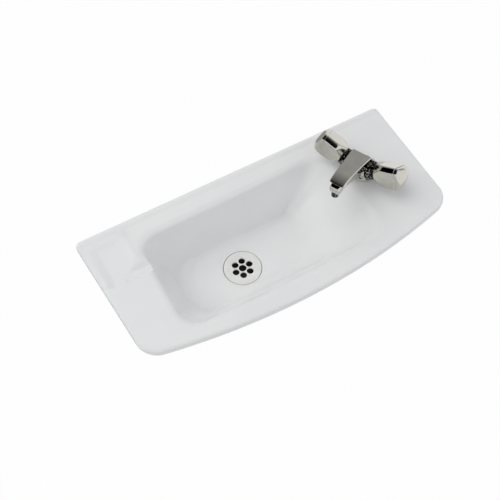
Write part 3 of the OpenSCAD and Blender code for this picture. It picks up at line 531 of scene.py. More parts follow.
slab_inner = level(under_outline(RIM_T, UNDER_FILLET), -RIM_T)
rings += [rings[-1] + (slab_inner - rings[-1]) * t for t in (0.33, 0.66)] + [slab_inner]
for turn in (30, 60, 90):
    drop = UNDER_FILLET * math.sin(math.radians(turn))
    growth = UNDER_FILLET * math.cos(math.radians(turn))
    rings.append(level(under_outline(RIM_T + drop, growth), -RIM_T - drop))
for depth in np.linspace(RIM_T + 8, foot_depths[-1] + WALL_T, 9):
    rings.append(level(under_outline(depth), -depth))
for depth in foot_depths[::-1][1:]:
    rings.append(level(under_outline(depth + WALL_T), -depth - WALL_T))
under_foot = rings[-1]
under_floor = FLOOR_Z - WALL_T
boss = waste_ring(under_foot, BOSS_R + 5, under_floor + 0.6)
rings += [under_foot + (boss - under_foot) * t for t in (0.4, 0.75, 1)]
boss_profile = [(BOSS_R + 3, under_floor - 0.4), (BOSS_R + 1.2, under_floor - 1.6),
                (BOSS_R + 0.3, under_floor - 3), (BOSS_R, under_floor - 5), (BOSS_R, BOSS_Z + 1.5),
                (BOSS_R - 0.4, BOSS_Z + 0.5), (BOSS_R - 1.5, BOSS_Z),
                (WASTE_HOLE_R + 1.5, BOSS_Z), (WASTE_HOLE_R + 0.4, BOSS_Z + 0.5)]
rings += [waste_ring(under_foot, r, z) for r, z in boss_profile]
rings = [with_relief(ring) + (0, 0, RIM_Z) for ring in rings]
basin = skin("glazed_basin", rings, glazed_china, loop=True)
print("basin skin:", len(rings), "rings,", len(basin.data.polygons), "faces")

# %% [markdown]
# ## Wall panel and holes
#
# A panel hangs down from the rim's back and lies flat on the wall, and two webs carry the rim's ends.
# Their tops end inside the rim, so that a boolean union makes one piece of them. The edges are rings of
# their outline, drawn in along a quarter circle, because a bevel bends a flat face that is closed by a fan.
# The holes for the tap and the wall studs are cut last.


# %% Slabs and rods
def slab(name, outline, axis, low, high, edge):
    """Flat slab: a convex outline in millimetres pushed along an axis, with rounded edges."""
    spare = [i for i in range(3) if i != axis]
    along = np.roll(outline, -1, axis=0) - outline
    facing = np.column_stack([-along[:, 1], along[:, 0]]) / np.linalg.norm(along, axis=1)[:, None]
    before = np.roll(facing, 1, axis=0)
    inwards = (facing + before) / (1 + (facing * before).sum(axis=1))[:, None]
    if ((outline.mean(axis=0) - outline) * inwards).sum() < 0:
        inwards = -inwards
    quarter = [(edge * (1 - math.sin(turn)), edge * (1 - math.cos(turn)))
               for turn in np.radians((90, 68, 45, 22, 0))]
    places = [(low + t, inset) for t, inset in quarter] + [(high - t, inset) for t, inset in quarter[::-1]]
    rings = []
    for place, inset in places:
        ring = np.zeros((len(outline), 3))
        ring[:, spare] = outline + inwards * inset
        ring[:, axis] = place
        rings.append(ring)
    return skin(name, rings, glazed_china)


def rod(name, start, direction, length, radius, points=96):
    """Closed cylinder from a point, in millimetres."""
    direction = np.array(direction, float) / np.linalg.norm(direction)
    side = np.cross(direction, (0, 0, 1) if abs(direction[2]) < 0.9 else (1, 0, 0))
    side /= np.linalg.norm(side)
    up = np.cross(direction, side)
    turns = np.linspace(0, 2 * math.pi, points, endpoint=False)[:, None]
    edge = np.cos(turns) * side * radius + np.sin(turns) * up * radius
    start = np.array(start)
    return skin(name, [start + edge, start + direction * length + edge], glazed_china)


print("slab and rod are ready, for the panel, its webs and the holes")

# %% Wall panel, webs and holes
PANEL_W, PANEL_H, PANEL_T, PANEL_CORNER_R, PANEL_EDGE_R = 424, 112, 11, 18, 2.5
WEB_D, WEB_LIP, WEB_FOOT = 92, 4, 14
FIXING_SPACING, FIXING_D, TAP_HOLE_D, TAP_HOLE_CUT, CUT_OVER = 200, 13, 35, 40, 5
TAP_FROM_BOWL, TAP_Y = 24.5, -90.0
TAP_X = BOWL_RIGHT + TAP_FROM_BOWL
INSIDE_RIM = RIM_Z - RIM_T / 2
panel_x, panel_foot = PANEL_W / 2, RIM_Z - PANEL_H
corners = np.array([(-panel_x, 0), (-panel_x, panel_foot), (panel_x, panel_foot), (panel_x, 0)])
panel_outline = np.concatenate([
    [(-panel_x, INSIDE_RIM)], corner_arc(*corners[:3], PANEL_CORNER_R, 8),
    corner_arc(*corners[1:], PANEL_CORNER_R, 8), [(panel_x, INSIDE_RIM)]])
joined = [slab("wall_panel", panel_outline, 1, -PANEL_T, 0, PANEL_EDGE_R)]
web_outline = np.array([(-PANEL_T / 2, INSIDE_RIM), (-WEB_D, INSIDE_RIM), (-WEB_D, RIM_Z - RIM_T - WEB_LIP),
                        (-PANEL_T, panel_foot + WEB_FOOT), (-PANEL_T / 2, panel_foot + WEB_FOOT)])
for side in (-1, 1):
    x = side * (PANEL_W - WALL_T) / 2
    joined.append(slab("web", web_outline, 0, x - WALL_T / 2, x + WALL_T / 2, PANEL_EDGE_R))
combine(basin, joined, "UNION")
cuts = [rod("cut", (TAP_X, TAP_Y, RIM_Z - TAP_HOLE_CUT / 2), (0, 0, 1), TAP_HOLE_CUT, TAP_HOLE_D / 2)]
for side in (-1, 1):
    fixing = (side * FIXING_SPACING / 2, CUT_OVER, 0)
    cuts.append(rod("cut", fixing, (0, -1, 0), PANEL_T + 2 * CUT_OVER, FIXING_D / 2))
combine(basin, cuts, "DIFFERENCE")
smooth(basin, 40)
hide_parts("basin")
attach(basin, "basin_body")
print("basin:", len(basin.data.polygons), "faces")

# %% [markdown]
# ## Turned pieces and frames
#
# Much of the tap and the whole waste are turned on a lathe, so a profile of radius and height, spun round
# Z, makes them. The tap has a frame of its own, with X along the spout, and each head has another, with Z
# along its spindle. A piece is made in such a frame and its points are then carried into the shared one.

# %% Frames, turned pieces and threads
TAP_TURN, HEAD_TILT = math.radians(206), math.radians(20)
HEAD_X, HEAD_Z = 15.0, 18.5        # where the two head axes cross, in the tap's frame
tap_frame = Matrix.Translation(Vector((TAP_X, TAP_Y, RIM_Z)) * MM) @ Matrix.Rotation(TAP_TURN, 4, "Z")


def head_frame(side):
    """Frame of the hot head (side -1) or the cold head (side 1)."""
    tilt = Matrix.Rotation(-side * (math.pi / 2 - HEAD_TILT), 4, "X")
    return tap_frame @ Matrix.Translation(Vector((HEAD_X, 0, HEAD_Z)) * MM) @ tilt


def circle(points):
    """Angles round a circle, and the points of a circle of radius 1."""
    turns = np.linspace(0, 2 * math.pi, points, endpoint=False)
    return turns, np.column_stack([np.cos(turns), np.sin(turns)])


def turned(name, profile, material, matrix=None, points=128, loop=False):
    """Profile of (radius, height) pairs in millimetres, spun round Z and carried by the matrix."""
    obj = skin(name, [level(circle(points)[1] * r, z) for r, z in profile], material, loop)
    obj.data.transform(matrix or Matrix())
    return obj


def thread_rings(radius, depth, pitch, low, high, points):
    """Rings of a screw thread between two heights, sunk by a V that climbs one pitch a turn."""
    turns, unit_circle = circle(points)
    rings = []
    for z in np.arange(low, high, pitch / 8):
        run_out = np.clip(min(z - low, high - z) / pitch, 0, 1)      # the thread fades at its ends
        groove = np.abs(2 * ((z / pitch - turns / (2 * math.pi)) % 1) - 1)
        rings.append(level(unit_circle * (radius - depth * run_out * groove)[:, None], z))
    return rings


def belongs(obj, node, body="basin_body"):
    """The piece stands for a CAD node, which it hides, and moves with a body."""
    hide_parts(node)
    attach(obj, body)
    print(f"{obj.name}: {len(obj.data.polygons)} faces")


print("head axes, as unit vectors:", [[round(v, 2) for v in head_frame(side).col[2][:3]] for side in (-1, 1)])

# %% [markdown]
# ## Casting of the tap
#
# The body and the spout are one brass casting. Its side view lies between two curves, the outer one from
# the top of the back to the mouth's front, and the inner one from the foot of the back to the mouth's
# rear. Rounded sections set from curve to curve, wide at the body and narrow at the mouth, make the
# casting. The blade on top is wider than its underside and ends before the mouth, which stands back under
# it as a small block. The bell of the base is turned, and the two bosses for the heads are added before
# the holes are bored, as a machinist would bore them.

# %% Sections of the casting
BASE_D, BODY_TOP_Z, BODY_LEAN, BODY_W, MOUTH_W = 48, 49, 14, 30, 17
SPOUT_REACH, SPOUT_RISE, MOUTH_Z, NOZZLE_D = 86, 11, 42, 10.4
BLADE_END, BLADE_STEP = 0.72, 1.8  # where the blade of the spout ends, and how far the mouth stands back
BLADE_LIP = 2.2                    # how far the spout's top stands out over its underside at the mouth
BLADE_EDGE_R, UNDER_EDGE_R = 2.6, 6
MOUTH_HALF = NOZZLE_D / 2 + 1.6
MOUTH_FRONT = SPOUT_REACH + MOUTH_HALF
OUTER_CURVE = np.array([(BODY_LEAN, BODY_TOP_Z), (BODY_LEAN + 36, BODY_TOP_Z + SPOUT_RISE * 0.65),
                        (MOUTH_FRONT + 11, BODY_TOP_Z + SPOUT_RISE * 2.25), (MOUTH_FRONT, MOUTH_Z)])
INNER_CURVE = np.array([(5 - BASE_D / 2, 5), (BASE_D / 2 - 4, 5), (SPOUT_REACH * 0.55, MOUTH_Z - 3),
                        (SPOUT_REACH - MOUTH_HALF, MOUTH_Z)])


def curve_point(control, t):
    """Point at share t of a cubic curve with four control points."""
    s = 1 - t
    return control[0] * s ** 3 + 3 * control[1] * s * s * t + 3 * control[2] * s * t * t + control[3] * t ** 3


def casting_ring(t, inset, blade=True):
    """Rounded section from the inner to the outer curve at share t, drawn in by the inset."""
    inner, outer = curve_point(INNER_CURVE, t), curve_point(OUTER_CURVE, t)
    depth = np.linalg.norm(outer - inner)
    along = (outer - inner) / depth
    half = (BODY_W + (MOUTH_W - BODY_W) * t * (2 - t)) / 2 - inset
    top = half + BLADE_LIP * t * (2 - t)
    if not blade:
        half = top = MOUTH_W / 2 - 1 - inset
        depth -= BLADE_STEP
    quad = ((-half, inset), (half, inset), (top, depth - inset), (-top, depth - inset))
    radii = (min(UNDER_EDGE_R, half * 0.6),) * 2 + (BLADE_EDGE_R,) * 2
    ring = rounded_quad(quad, radii, 9, (12, 16, 12, 16))
    return np.column_stack([inner[0] + along[0] * ring[:, 1], -ring[:, 0], inner[1] + along[1] * ring[:, 1]])


blade_shares = [(0, 1.3), (0.003, 0.6), (0.007, 0.2), (0.012, 0)]
blade_shares += [(t, 0) for t in np.linspace(0.03, BLADE_END - 0.01, 50)]
blade_shares += [(BLADE_END, 0.15), (BLADE_END + 0.004, 0.6)]
block_shares = [(t, 0) for t in np.linspace(BLADE_END + 0.004, 0.96, 16)]
block_shares += [(0.985, 0), (0.992, 0.15), (0.997, 0.45), (1, 1)]
rings = [casting_ring(t, inset) for t, inset in blade_shares]
rings += [casting_ring(t, inset, blade=False) for t, inset in block_shares]
casting = skin("tap_casting", rings, polished_chrome)
casting.data.transform(tap_frame)
print("sections of the casting:", len(rings))

# %% Bell, bosses and bores of the casting
BOSS_S, HEAD_BOSS_R, COLLAR_LEN = 15.5, 13.5, 13.6
CARTRIDGE_R, INLET_R, STUD_BORE_R, FOOT_BORE_TOP = 10.55, 4.6, 4.05, 12.6
INLET_X, INLET_Y, STUD_X, MOUTH_BORE_R = -5, 8, 9, 5.25
bell_profile = [(18, 0.6), (18, 2.6), (21.5, 2.6), (21.5, 0.6), (23.5, 0.6),
                (23.9, 0.8), (24, 1.2), (24, 2.6), (23.8, 3)]
for turn in range(6, 91, 6):
    sine, cosine = math.sin(math.radians(turn)), math.cos(math.radians(turn))
    bell_profile.append((14 + 9.4 * cosine ** 2, 3.2 + 12.4 * sine ** 3))
heads = (-1, 1)
combine(casting, [turned("bell", bell_profile, polished_chrome, tap_frame)], "UNION")
spot_face = [(HEAD_BOSS_R + 0.3, BOSS_S), (HEAD_BOSS_R + 0.3, BOSS_S + COLLAR_LEN)]
spot_faces = [turned("cut", spot_face, polished_chrome, head_frame(side)) for side in heads]
combine(casting, spot_faces, "DIFFERENCE")
boss_profile = [(HEAD_BOSS_R, 0), (HEAD_BOSS_R, BOSS_S - 0.6), (HEAD_BOSS_R - 0.2, BOSS_S - 0.2),
                (HEAD_BOSS_R - 0.6, BOSS_S)]
bosses = [turned("boss", boss_profile, polished_chrome, head_frame(side)) for side in heads]
combine(casting, bosses, "UNION")
bore = [(CARTRIDGE_R, 5), (CARTRIDGE_R, BOSS_S + 5)]
bores = [turned("cut", bore, polished_chrome, head_frame(side)) for side in heads]
for x, y, r in ((INLET_X, -INLET_Y, INLET_R), (INLET_X, INLET_Y, INLET_R), (STUD_X, 0, STUD_BORE_R)):
    place = tap_frame @ Matrix.Translation((x * MM, y * MM, 0))
    bores.append(turned("cut", [(r, -1), (r, FOOT_BORE_TOP)], polished_chrome, place))
mouth_frame = tap_frame @ Matrix.Translation((SPOUT_REACH * MM, 0, 0))
bore = [(MOUTH_BORE_R, MOUTH_Z - 1), (MOUTH_BORE_R, MOUTH_Z + 6)]
bores.append(turned("cut", bore, polished_chrome, mouth_frame))
combine(casting, bores, "DIFFERENCE")
belongs(smooth(casting, 30), "tap_body")

# %% [markdown]
# ## Nozzle and fixing stud
#
# A short turned nozzle sits in the mouth of the spout, with a groove where it screws in and a rounded
# lip. Under the basin the tap is drawn down by a stud with an M8 thread.

# %% Nozzle and stud
nozzle_profile = [(3.2, 46.9), (5.1, 46.9), (5.2, 46.7), (5.2, 38.4), (4.9, 38.1), (4.9, 37.7), (5.2, 37.4),
                  (5.2, 33.6), (5.1, 33.2), (4.8, 33), (4.4, 33), (4.2, 33.2), (4.2, 38), (3.2, 38)]
# The nozzle's finish is near-black as painted shade and dark reflection, with painted glints.
nozzle = turned("nozzle", nozzle_profile, dark_chrome, mouth_frame, 96, True)
belongs(smooth(nozzle), "spout_nozzle")

STUD_LOW, STUD_HIGH, STUD_R, STUD_END_R, STUD_POINTS = -59.3, 12.5, 4, 3.3, 48
M8_DEPTH, M8_PITCH = 0.65, 1.25
stud_end = circle(STUD_POINTS)[1] * STUD_END_R
stud_thread = thread_rings(STUD_R, M8_DEPTH, M8_PITCH, STUD_LOW + 0.6, STUD_HIGH - 0.5, STUD_POINTS)
stud_rings = [level(stud_end, STUD_LOW)] + stud_thread + [level(stud_end, STUD_HIGH)]
stud = skin("stud", stud_rings, machined_brass)
stud.data.transform(tap_frame @ Matrix.Translation((STUD_X * MM, 0, 0)))
belongs(smooth(stud), "fixing_stud")

# %% [markdown]
# ## Rings of equal cuts
#
# The collars have twelve flutes each and the waste grid has six holes round a middle one. One Geometry
# Nodes tree sets copies of a tool round a circle and cuts them out of the body, so a change of count or
# radius is a change of one number.

# %% Tree that cuts round a ring
ring_cutter = bpy.data.node_groups.new("cut round a ring", "GeometryNodeTree")
for name, kind in (("Body", "Geometry"), ("Tool", "Object"), ("Count", "Int"), ("Radius", "Float"),
                   ("Turn", "Float"), ("Finish", "Material")):
    ring_cutter.interface.new_socket(name, in_out="INPUT", socket_type="NodeSocket" + kind)
ring_cutter.interface.new_socket("Geometry", in_out="OUTPUT", socket_type="NodeSocketGeometry")
given = add_node(ring_cutter, "NodeGroupInput").outputs
places = add_node(ring_cutter, "GeometryNodeMeshCircle", {}, {},
                  {"Vertices": given["Count"], "Radius": given["Radius"]})
turn = add_node(ring_cutter, "ShaderNodeCombineXYZ", {}, {}, {"Z": given["Turn"]})
turned_places = add_node(ring_cutter, "GeometryNodeTransform", {}, {},
                         {"Geometry": places.outputs[0], "Rotation": turn.outputs[0]})
tool = add_node(ring_cutter, "GeometryNodeObjectInfo", {}, {}, {"Object": given["Tool"]})
copies = add_node(ring_cutter, "GeometryNodeInstanceOnPoints", {}, {},
                  {"Points": turned_places.outputs[0], "Instance": tool.outputs["Geometry"]})
solid = add_node(ring_cutter, "GeometryNodeRealizeInstances", {}, {}, {"Geometry": copies.outputs[0]})
cut = add_node(ring_cutter, "GeometryNodeMeshBoolean", {"operation": "DIFFERENCE", "solver": "MANIFOLD"}, {},
               {"Mesh 1": given["Body"], "Mesh 2": solid.outputs[0]})
real = add_node(ring_cutter, "GeometryNodeRealizeInstances", {}, {}, {"Geometry": cut.outputs[0]})
painted = add_node(ring_cutter, "GeometryNodeSetMaterial", {}, {},
                   {"Geometry": real.outputs[0], "Material": given["Finish"]})
add_node(ring_cutter, "NodeGroupOutput", {}, {}, {"Geometry": painted.outputs[0]})
print("nodes in the ring cutter:", len(ring_cutter.nodes))


def cut_round(obj, tool, count, radius_mm, turn_degrees, edge_mm):
    """Cuts copies of the tool round a ring out of the piece, then rounds the edges."""
    modifier = obj.modifiers.new("cut round a ring", "NODES")
    modifier.node_group = ring_cutter
    values = {"Tool": tool, "Count": count, "Radius": radius_mm * MM, "Turn": math.radians(turn_degrees),
              "Finish": obj.data.materials[0]}
    for item in ring_cutter.interface.items_tree:
        if item.in_out == "INPUT" and item.name in values:
            modifier[item.identifier] = values[item.name]
    apply_modifiers(obj)
    bpy.data.objects.remove(tool)
    bevel = obj.modifiers.new("edge", "BEVEL")
    bevel.width, bevel.segments = edge_mm * MM, 2
    bevel.limit_method, bevel.angle_limit = "ANGLE", math.radians(40)
    return apply_modifiers(obj)


# %% [markdown]
# ## Collars
#
# A collar hides the hexagon of each headwork. It is turned, with a plain band at the boss and flutes
# along the rest. Its chrome breaks up into small bright and dark patches, which are painted into the
# finish: a near-black colour as painted shade and dark reflection, and a noise of 1.6 mm whose span is
# narrow, so that only a few specks are bright, as painted glints.

# %% Collars
FLUTES, FLUTE_R, FLUTE_RING_R, FLUTE_EDGE = 12, 2.2, 14.7, 0.25
BAND_S, COLLAR_END_S = BOSS_S + COLLAR_LEN * 0.35, BOSS_S + COLLAR_LEN
collar_profile = [(11.9, BOSS_S), (13.2, BOSS_S), (13.5, BOSS_S + 0.3), (13.5, BAND_S - 0.3), (13.4, BAND_S),
                  (12.2, COLLAR_END_S - 0.6), (11.5, COLLAR_END_S), (7.6, COLLAR_END_S),
                  (7.3, COLLAR_END_S - 0.3), (7.3, BOSS_S + 6.5), (11.9, BOSS_S + 6.5)]
for side, name in ((-1, "hot"), (1, "cold")):
    # The collar's finish has painted shade and painted glints.
    collar = turned(name + "_fluted_collar", collar_profile, dark_chrome, None, 144, True)
    tool = turned("tool", [(FLUTE_R, BAND_S), (FLUTE_R, COLLAR_END_S + 2)], dark_chrome, None, 32)
    cut_round(collar, tool, FLUTES, FLUTE_RING_R, 180 / FLUTES, FLUTE_EDGE)
    collar.data.transform(head_frame(side))
    belongs(smooth(collar, 30), name + "_collar")

# %% [markdown]
# ## Handles
#
# Each handle is a chromed block with three flats and three blunt corners, chamfered by a cone towards its
# neck. Its radius at each angle is the smooth least of the distances to the six faces and the cone. A
# high power keeps the faces flat and rounds the edges by about half a millimetre, as polishing does.
# The block is hollow: the hub, the screw seat and the pocket under the cap are inside. A narrow groove
# parts the block from its domed cap, which turns from the handle's section at its edge to a round crown.

# %% Sections of the handles
HANDLE_FLAT, HANDLE_CORNER, HANDLE_LEN, HANDLE_TAPER, CAP_RISE = 13.5, 20, 32, 12, 9.5
HANDLE_S = COLLAR_END_S + 0.8
HANDLE_END_S = HANDLE_S + HANDLE_LEN
SHARPNESS, HANDLE_POINTS, NO_CONE = 26, 240, 1000.0


def section_radius(scale, cone=NO_CONE):
    """Radius of the handle's section round its axis, held inside a cone of that radius."""
    turns, _ = circle(HANDLE_POINTS)
    reach = cone ** -SHARPNESS * np.ones(HANDLE_POINTS)
    for corner in range(3):
        for angle, distance in ((120 * corner, HANDLE_FLAT), (120 * corner + 60, HANDLE_CORNER)):
            facing = np.maximum(0, np.cos(turns - math.radians(angle)))
            reach += (facing / (distance * scale)) ** SHARPNESS
    return reach ** (-1 / SHARPNESS)


def handle_ring(radius, s):
    """A ring round the head's axis, with one radius or one for each point."""
    return level(circle(HANDLE_POINTS)[1] * np.broadcast_to(radius, HANDLE_POINTS)[:, None], s)


widest = section_radius(1).max()
print("the handle reaches", round(widest, 1), "mm from its axis at its corners")

# %% Handles and caps
SCREW_R, SCREW_SEAT_S, SPINDLE_R, SPINDLE_END_S = 2.3, 51.9, 4.05, 46.9
POCKET_R, POCKET_DEPTH, NECK_R = 6.5, 18, 13.4


def handle_rings():
    """Handle block: from the screw's hole down the hub, up outside and down into the cap's pocket."""
    hub = [(SCREW_R, SCREW_SEAT_S), (SCREW_R, SPINDLE_END_S), (SPINDLE_R, SPINDLE_END_S),
           (SPINDLE_R, HANDLE_S + 6.3), (4.4, HANDLE_S + 6), (10.7, HANDLE_S + 6), (11, HANDLE_S + 5.7),
           (11, HANDLE_S + 0.4), (11.3, HANDLE_S)]
    rings = [handle_ring(r, s) for r, s in hub] + [handle_ring(section_radius(1, NECK_R), HANDLE_S)]
    for s in np.linspace(HANDLE_S + 0.4, HANDLE_END_S - 0.7, 44):
        cone = HANDLE_FLAT + 0.4 + (HANDLE_CORNER + 0.6 - HANDLE_FLAT) * (s - HANDLE_S) / HANDLE_TAPER
        rings.append(handle_ring(section_radius(1, cone), s))
    for scale, s in ((0.995, 0.4), (0.985, 0.15), (0.97, 0), (0.85, 0), (0.84, 0.2), (0.84, POCKET_DEPTH)):
        rings.append(handle_ring(section_radius(scale), HANDLE_END_S - s))
    return rings + [handle_ring(POCKET_R, HANDLE_END_S - POCKET_DEPTH), handle_ring(POCKET_R, SCREW_SEAT_S)]


def cap_rings():
    """Domed cap: the handle's section at its edge, rounder towards the crown, with a plug below."""
    edge = ((0.82, -3), (0.83, -2.8), (0.83, 0.02), (0.9, 0.02), (0.9, 0.9), (0.93, 0.9), (0.95, 1))
    rings = [handle_ring(section_radius(scale), HANDLE_END_S + s) for scale, s in edge]
    for turn in range(0, 90, 4):
        sine, cosine = math.sin(math.radians(turn)), math.cos(math.radians(turn))
        edge_share = cosine ** 2
        radius = (section_radius(0.96) * edge_share + HANDLE_FLAT * 1.1 * (1 - edge_share)) * cosine ** 0.6
        rings.append(handle_ring(radius, HANDLE_END_S + 1 + (CAP_RISE - 0.5) * sine))
    return rings


for side, name in ((-1, "hot"), (1, "cold")):
    handle = skin(name + "_handle_block", handle_rings(), polished_chrome, True)
    cap = skin(name + "_domed_cap", cap_rings(), polished_chrome)
    for piece, node in ((handle, "_handle"), (cap, "_handle_cap")):
        piece.data.transform(head_frame(side))
        belongs(smooth(piece, 30), name + node, name + "_head")

# %% [markdown]
# ## Waste
#
# The grid waste is one turned brass piece. Its flange is plated, and its reflection of the white
# surroundings is painted into a pale colour, nearly as pale as the china, so it has a finish of its own.
# The tail is plated outside, and inside its bore is painted near-black as the shade of a tube too dark to
# see into. The top is dished round seven holes, the middle one a little larger. The tail has a 1 1/4 inch
# pipe thread with a pitch of 2.3 mm.

# %% Waste
FLANGE_R, FLANGE_GAP, TAIL_R, TAIL_LEN, TAIL_BORE_R = 28, 0.3, 20.95, 85, 17.95
PIPE_THREAD_DEPTH, PIPE_THREAD_PITCH, WASTE_POINTS = 1.2, 2.309, 144
MIDDLE_HOLE_R, GRID_HOLE_R, GRID_PITCH_R, GRID_HOLES, GRID_TURN, HOLE_EDGE = 5.7, 5, 12, 6, 7, 0.3
GRID_BACK = -3.7                   # height of the grid's lower face
# Painted shade: the bore inside the tail is near-black and dull, as the shade in a tube too dark to see into.
bore_painted_shade = finish_material("brass bore painted dark as shade", ("#0A0908", "#100E0B"), metallic=0.0,
                            roughness=(0.7, 0.85), spot_mm=5, bump_mm=0.01, grain_mm=1)
waste_frame = Matrix.Translation(Vector((WASTE_X, WASTE_Y, RIM_Z + FLOOR_Z - FLANGE_GAP)) * MM)
top = [(2, -1.2), (17.2, -1.2), (18.2, -1.1), (19.3, -0.8), (20.6, -0.45), (22, -0.22), (24, -0.05),
       (FLANGE_R - 2.5, 0), (FLANGE_R - 1.5, -0.06), (FLANGE_R - 0.75, -0.35), (FLANGE_R - 0.2, -0.85),
       (FLANGE_R, -1.5), (FLANGE_R, -2.4), (FLANGE_R - 0.15, -2.5),
       (TAIL_R + 0.3, -2.5), (TAIL_R, -2.8), (TAIL_R, -12)]
bottom = [(TAIL_R - 0.9, -TAIL_LEN), (TAIL_BORE_R + 0.25, -TAIL_LEN), (TAIL_BORE_R, 0.3 - TAIL_LEN),
          (TAIL_BORE_R, -4), (TAIL_BORE_R - 0.25, GRID_BACK), (2, GRID_BACK)]
unit_circle = circle(WASTE_POINTS)[1]
thread = thread_rings(TAIL_R, PIPE_THREAD_DEPTH, PIPE_THREAD_PITCH, -TAIL_LEN + 0.8, -13, WASTE_POINTS)
rings = [level(unit_circle * r, z) for r, z in top] + thread[::-1]
rings += [level(unit_circle * r, z) for r, z in bottom]
# The flange's pale finish is a painted reflection of the white surroundings.
waste = skin("grid_waste", rings, painted_reflection_chrome)
tools = [turned("tool", [(r, -6), (r, 2)], painted_reflection_chrome, None, 48) for r in (MIDDLE_HOLE_R, GRID_HOLE_R)]
combine(waste, tools[:1], "DIFFERENCE")
cut_round(waste, tools[1], GRID_HOLES, GRID_PITCH_R, GRID_TURN, HOLE_EDGE)
print("faces of the waste:", len(waste.data.polygons))

# %% Finishes inside and outside the tail
# The bore's painted shade first, then the plate outside the tail.
waste.data.materials.append(bore_painted_shade)
waste.data.materials.append(polished_chrome)
BORE_SHADE, PLATED = 1, 2                # places of these two finishes in the list
for face in waste.data.polygons:
    x, y, z = face.center
    if z < (GRID_BACK + 0.05) * MM:
        face.material_index = BORE_SHADE if math.hypot(x, y) < (TAIL_BORE_R + 0.15) * MM else PLATED
waste.data.transform(waste_frame)
belongs(smooth(waste, 30), "waste_flange")

# %% [markdown]
# ## Stage
#
# The floor is where a real one would be, 0.8 m below the rim. The floor and the world show white to the
# camera and in reflections, and a plain light to everything else, so the background stays white while
# the floor still takes the object's shadow. The share that a ray of each kind sees comes from Light Path.

# %% Floor and world
FLOOR_DROP, FLOOR_HALF = 0.8, 6    # in metres
WORLD_LIGHT, FLOOR_GLOW = 0.535, 0.97
SKY_TINT, LAMP_TINT = "#FBFDFF", "#FFFEFB"


def seen_directly(tree):
    """1 for rays from the camera, a mirror or glass, and 0 for the light that falls on things."""
    path = add_node(tree, "ShaderNodeLightPath").outputs
    mirror = add_node(tree, "ShaderNodeMath", {"operation": "MAXIMUM"}, {},
                      {0: path["Is Camera Ray"], 1: path["Is Glossy Ray"]})
    return add_node(tree, "ShaderNodeMath", {"operation": "MAXIMUM"}, {},
                    {0: mirror.outputs[0], 1: path["Is Transmission Ray"]}).outputs[0]


floor_mesh = bpy.data.meshes.new("floor")
floor_mesh.from_pydata([(x * FLOOR_HALF, y * FLOOR_HALF, RIM_Z * MM - FLOOR_DROP)
                        for x, y in ((-1, -1), (1, -1), (1, 1), (-1, 1))], [], [(0, 1, 2, 3)])
floor_paint = bpy.data.materials.new("white studio floor")
floor_paint.use_nodes = True
tree = floor_paint.node_tree
tree.nodes.clear()
share = add_node(tree, "ShaderNodeMath", {"operation": "MULTIPLY"}, {1: FLOOR_GLOW}, {0: seen_directly(tree)})
paint = add_node(tree, "ShaderNodeBsdfDiffuse", {}, {"Color": hex_colour("#F4F4F4")})
glow = add_node(tree, "ShaderNodeEmission", {}, {"Color": (1, 1, 1, 1), "Strength": 1.0})
mixed = add_node(tree, "ShaderNodeMixShader", {}, {},
                 {0: share.outputs[0], 1: paint.outputs[0], 2: glow.outputs[0]})
add_node(tree, "ShaderNodeOutputMaterial", {}, {}, {"Surface": mixed.outputs[0]})
floor = put("floor", floor_mesh, floor_paint)

world = bpy.data.worlds.new("studio")
bpy.context.scene.world = world
world.use_nodes = True
tree = world.node_tree
strength = add_node(tree, "ShaderNodeMapRange", {}, {"To Min": WORLD_LIGHT, "To Max": 1.0},
                    {"Value": seen_directly(tree)})
tree.links.new(strength.outputs["Result"], tree.nodes["Background"].inputs["Strength"])
tree.nodes["Background"].inputs["Color"].default_value = hex_colour(SKY_TINT)
print("floor at z", round(RIM_Z * MM - FLOOR_DROP, 2), "m")

# %% [markdown]
# ## Lamps and cards
#
# A large soft lamp above and a weak one in front light the china, and neither shows in the chrome. The
# lamps are a touch warm and the world a touch blue, so the ledge stays neutral and the shade in the bowl
# turns slightly blue, as in the photograph.
#
# What polished chrome looks like depends on what it mirrors, so photographers stand grey and black cards
# round it. The cards here are seen by mirrors only: they give the spout its olive grey and the handles
# their dark flats, and leave the light on the china alone. The collars' black is painted shade in their
# own finish.


# %% Lamps
def lamp(name, place, size, power):
    light = bpy.data.lights.new(name, "AREA")
    light.shape, light.size, light.energy = "SQUARE", size, power
    light.color = hex_colour(LAMP_TINT)[:3]
    obj = bpy.data.objects.new(name, light)
    obj.location = place
    obj.rotation_euler = (Vector((0, -0.1, RIM_Z * MM)) - Vector(place)).to_track_quat("-Z", "Y").to_euler()
    obj.visible_glossy = False
    bpy.context.scene.collection.objects.link(obj)
    print(f"{name}: {power} W")


lamp("key softbox", place=(-0.8, 0.35, 1.85), size=2.0, power=16.3)
lamp("front fill softbox", place=(0.5, -1.6, 0.3), size=1.2, power=1.2)


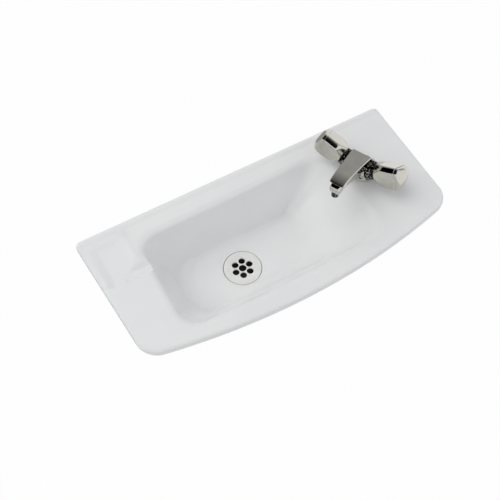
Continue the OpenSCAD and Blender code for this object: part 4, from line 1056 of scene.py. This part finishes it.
# %% Cards
def card(name, corners, grey):
    """A card that only mirrors see, with one grey for each of its four corners."""
    mesh = bpy.data.meshes.new(name)
    mesh.from_pydata(corners, [], [(0, 1, 2, 3)])
    shade = mesh.color_attributes.new("shade", "FLOAT_COLOR", "POINT")
    for item, value in zip(shade.data, grey):
        item.color = (value, value, value, 1)
    paper = bpy.data.materials.new(name + " paper")
    paper.use_nodes = True
    tree = paper.node_tree
    tree.nodes.clear()
    tone = add_node(tree, "ShaderNodeVertexColor", {"layer_name": "shade"})
    light = add_node(tree, "ShaderNodeEmission", {}, {"Strength": 1.0}, {"Color": tone.outputs[0]})
    add_node(tree, "ShaderNodeOutputMaterial", {}, {}, {"Surface": light.outputs[0]})
    obj = put(name, mesh, paper)
    obj.visible_camera = obj.visible_diffuse = obj.visible_shadow = False
    obj.visible_transmission = obj.visible_volume_scatter = False
    cards.append(obj)


cards = []
LEFT, RIGHT, FRONT, BACK, LOW, TOP = -1.5, 1.6, -1.6, 1.5, -0.7, 1.7
BLACK, GREY, PALE = 0.0, 0.42, 0.75


def upright_card(name, start, end, low, grey):
    """A card that stands between two points of the plan, from a height up to the ceiling."""
    card(name, [(*start, low), (*end, low), (*end, TOP), (*start, TOP)], grey)


def flat_card(name, z, plan, grey):
    card(name, [(x, y, z) for x, y in plan], grey)


upright_card("black left wall", (LEFT, -0.6), (LEFT, BACK), 0.25, (BLACK,) * 4)
upright_card("grey back wall", (LEFT, BACK), (0.6, BACK), LOW, (GREY,) * 4)
upright_card("pale back wall", (0.6, BACK), (RIGHT, BACK), LOW, (GREY, PALE, GREY, GREY))
upright_card("grey right wall", (RIGHT, 0), (RIGHT, BACK), 0.1, (GREY,) * 4)
flat_card("grey table behind", LOW + 0.01, [(LEFT, 0.15), (0.4, 0.15), (0.4, BACK), (LEFT, BACK)],
          (GREY,) * 4)
flat_card("black ceiling", TOP, [(LEFT, FRONT), (-0.3, FRONT), (-0.3, BACK), (LEFT, BACK)],
          (BLACK,) * 4)
flat_card("grey ceiling", TOP, [(-0.3, FRONT), (RIGHT, 0), (RIGHT, BACK), (-0.3, BACK)],
          (BLACK, GREY, GREY, BLACK))
bpy.context.scene.view_settings.view_transform = "Standard"
print("cards seen by mirrors only:", len(cards))
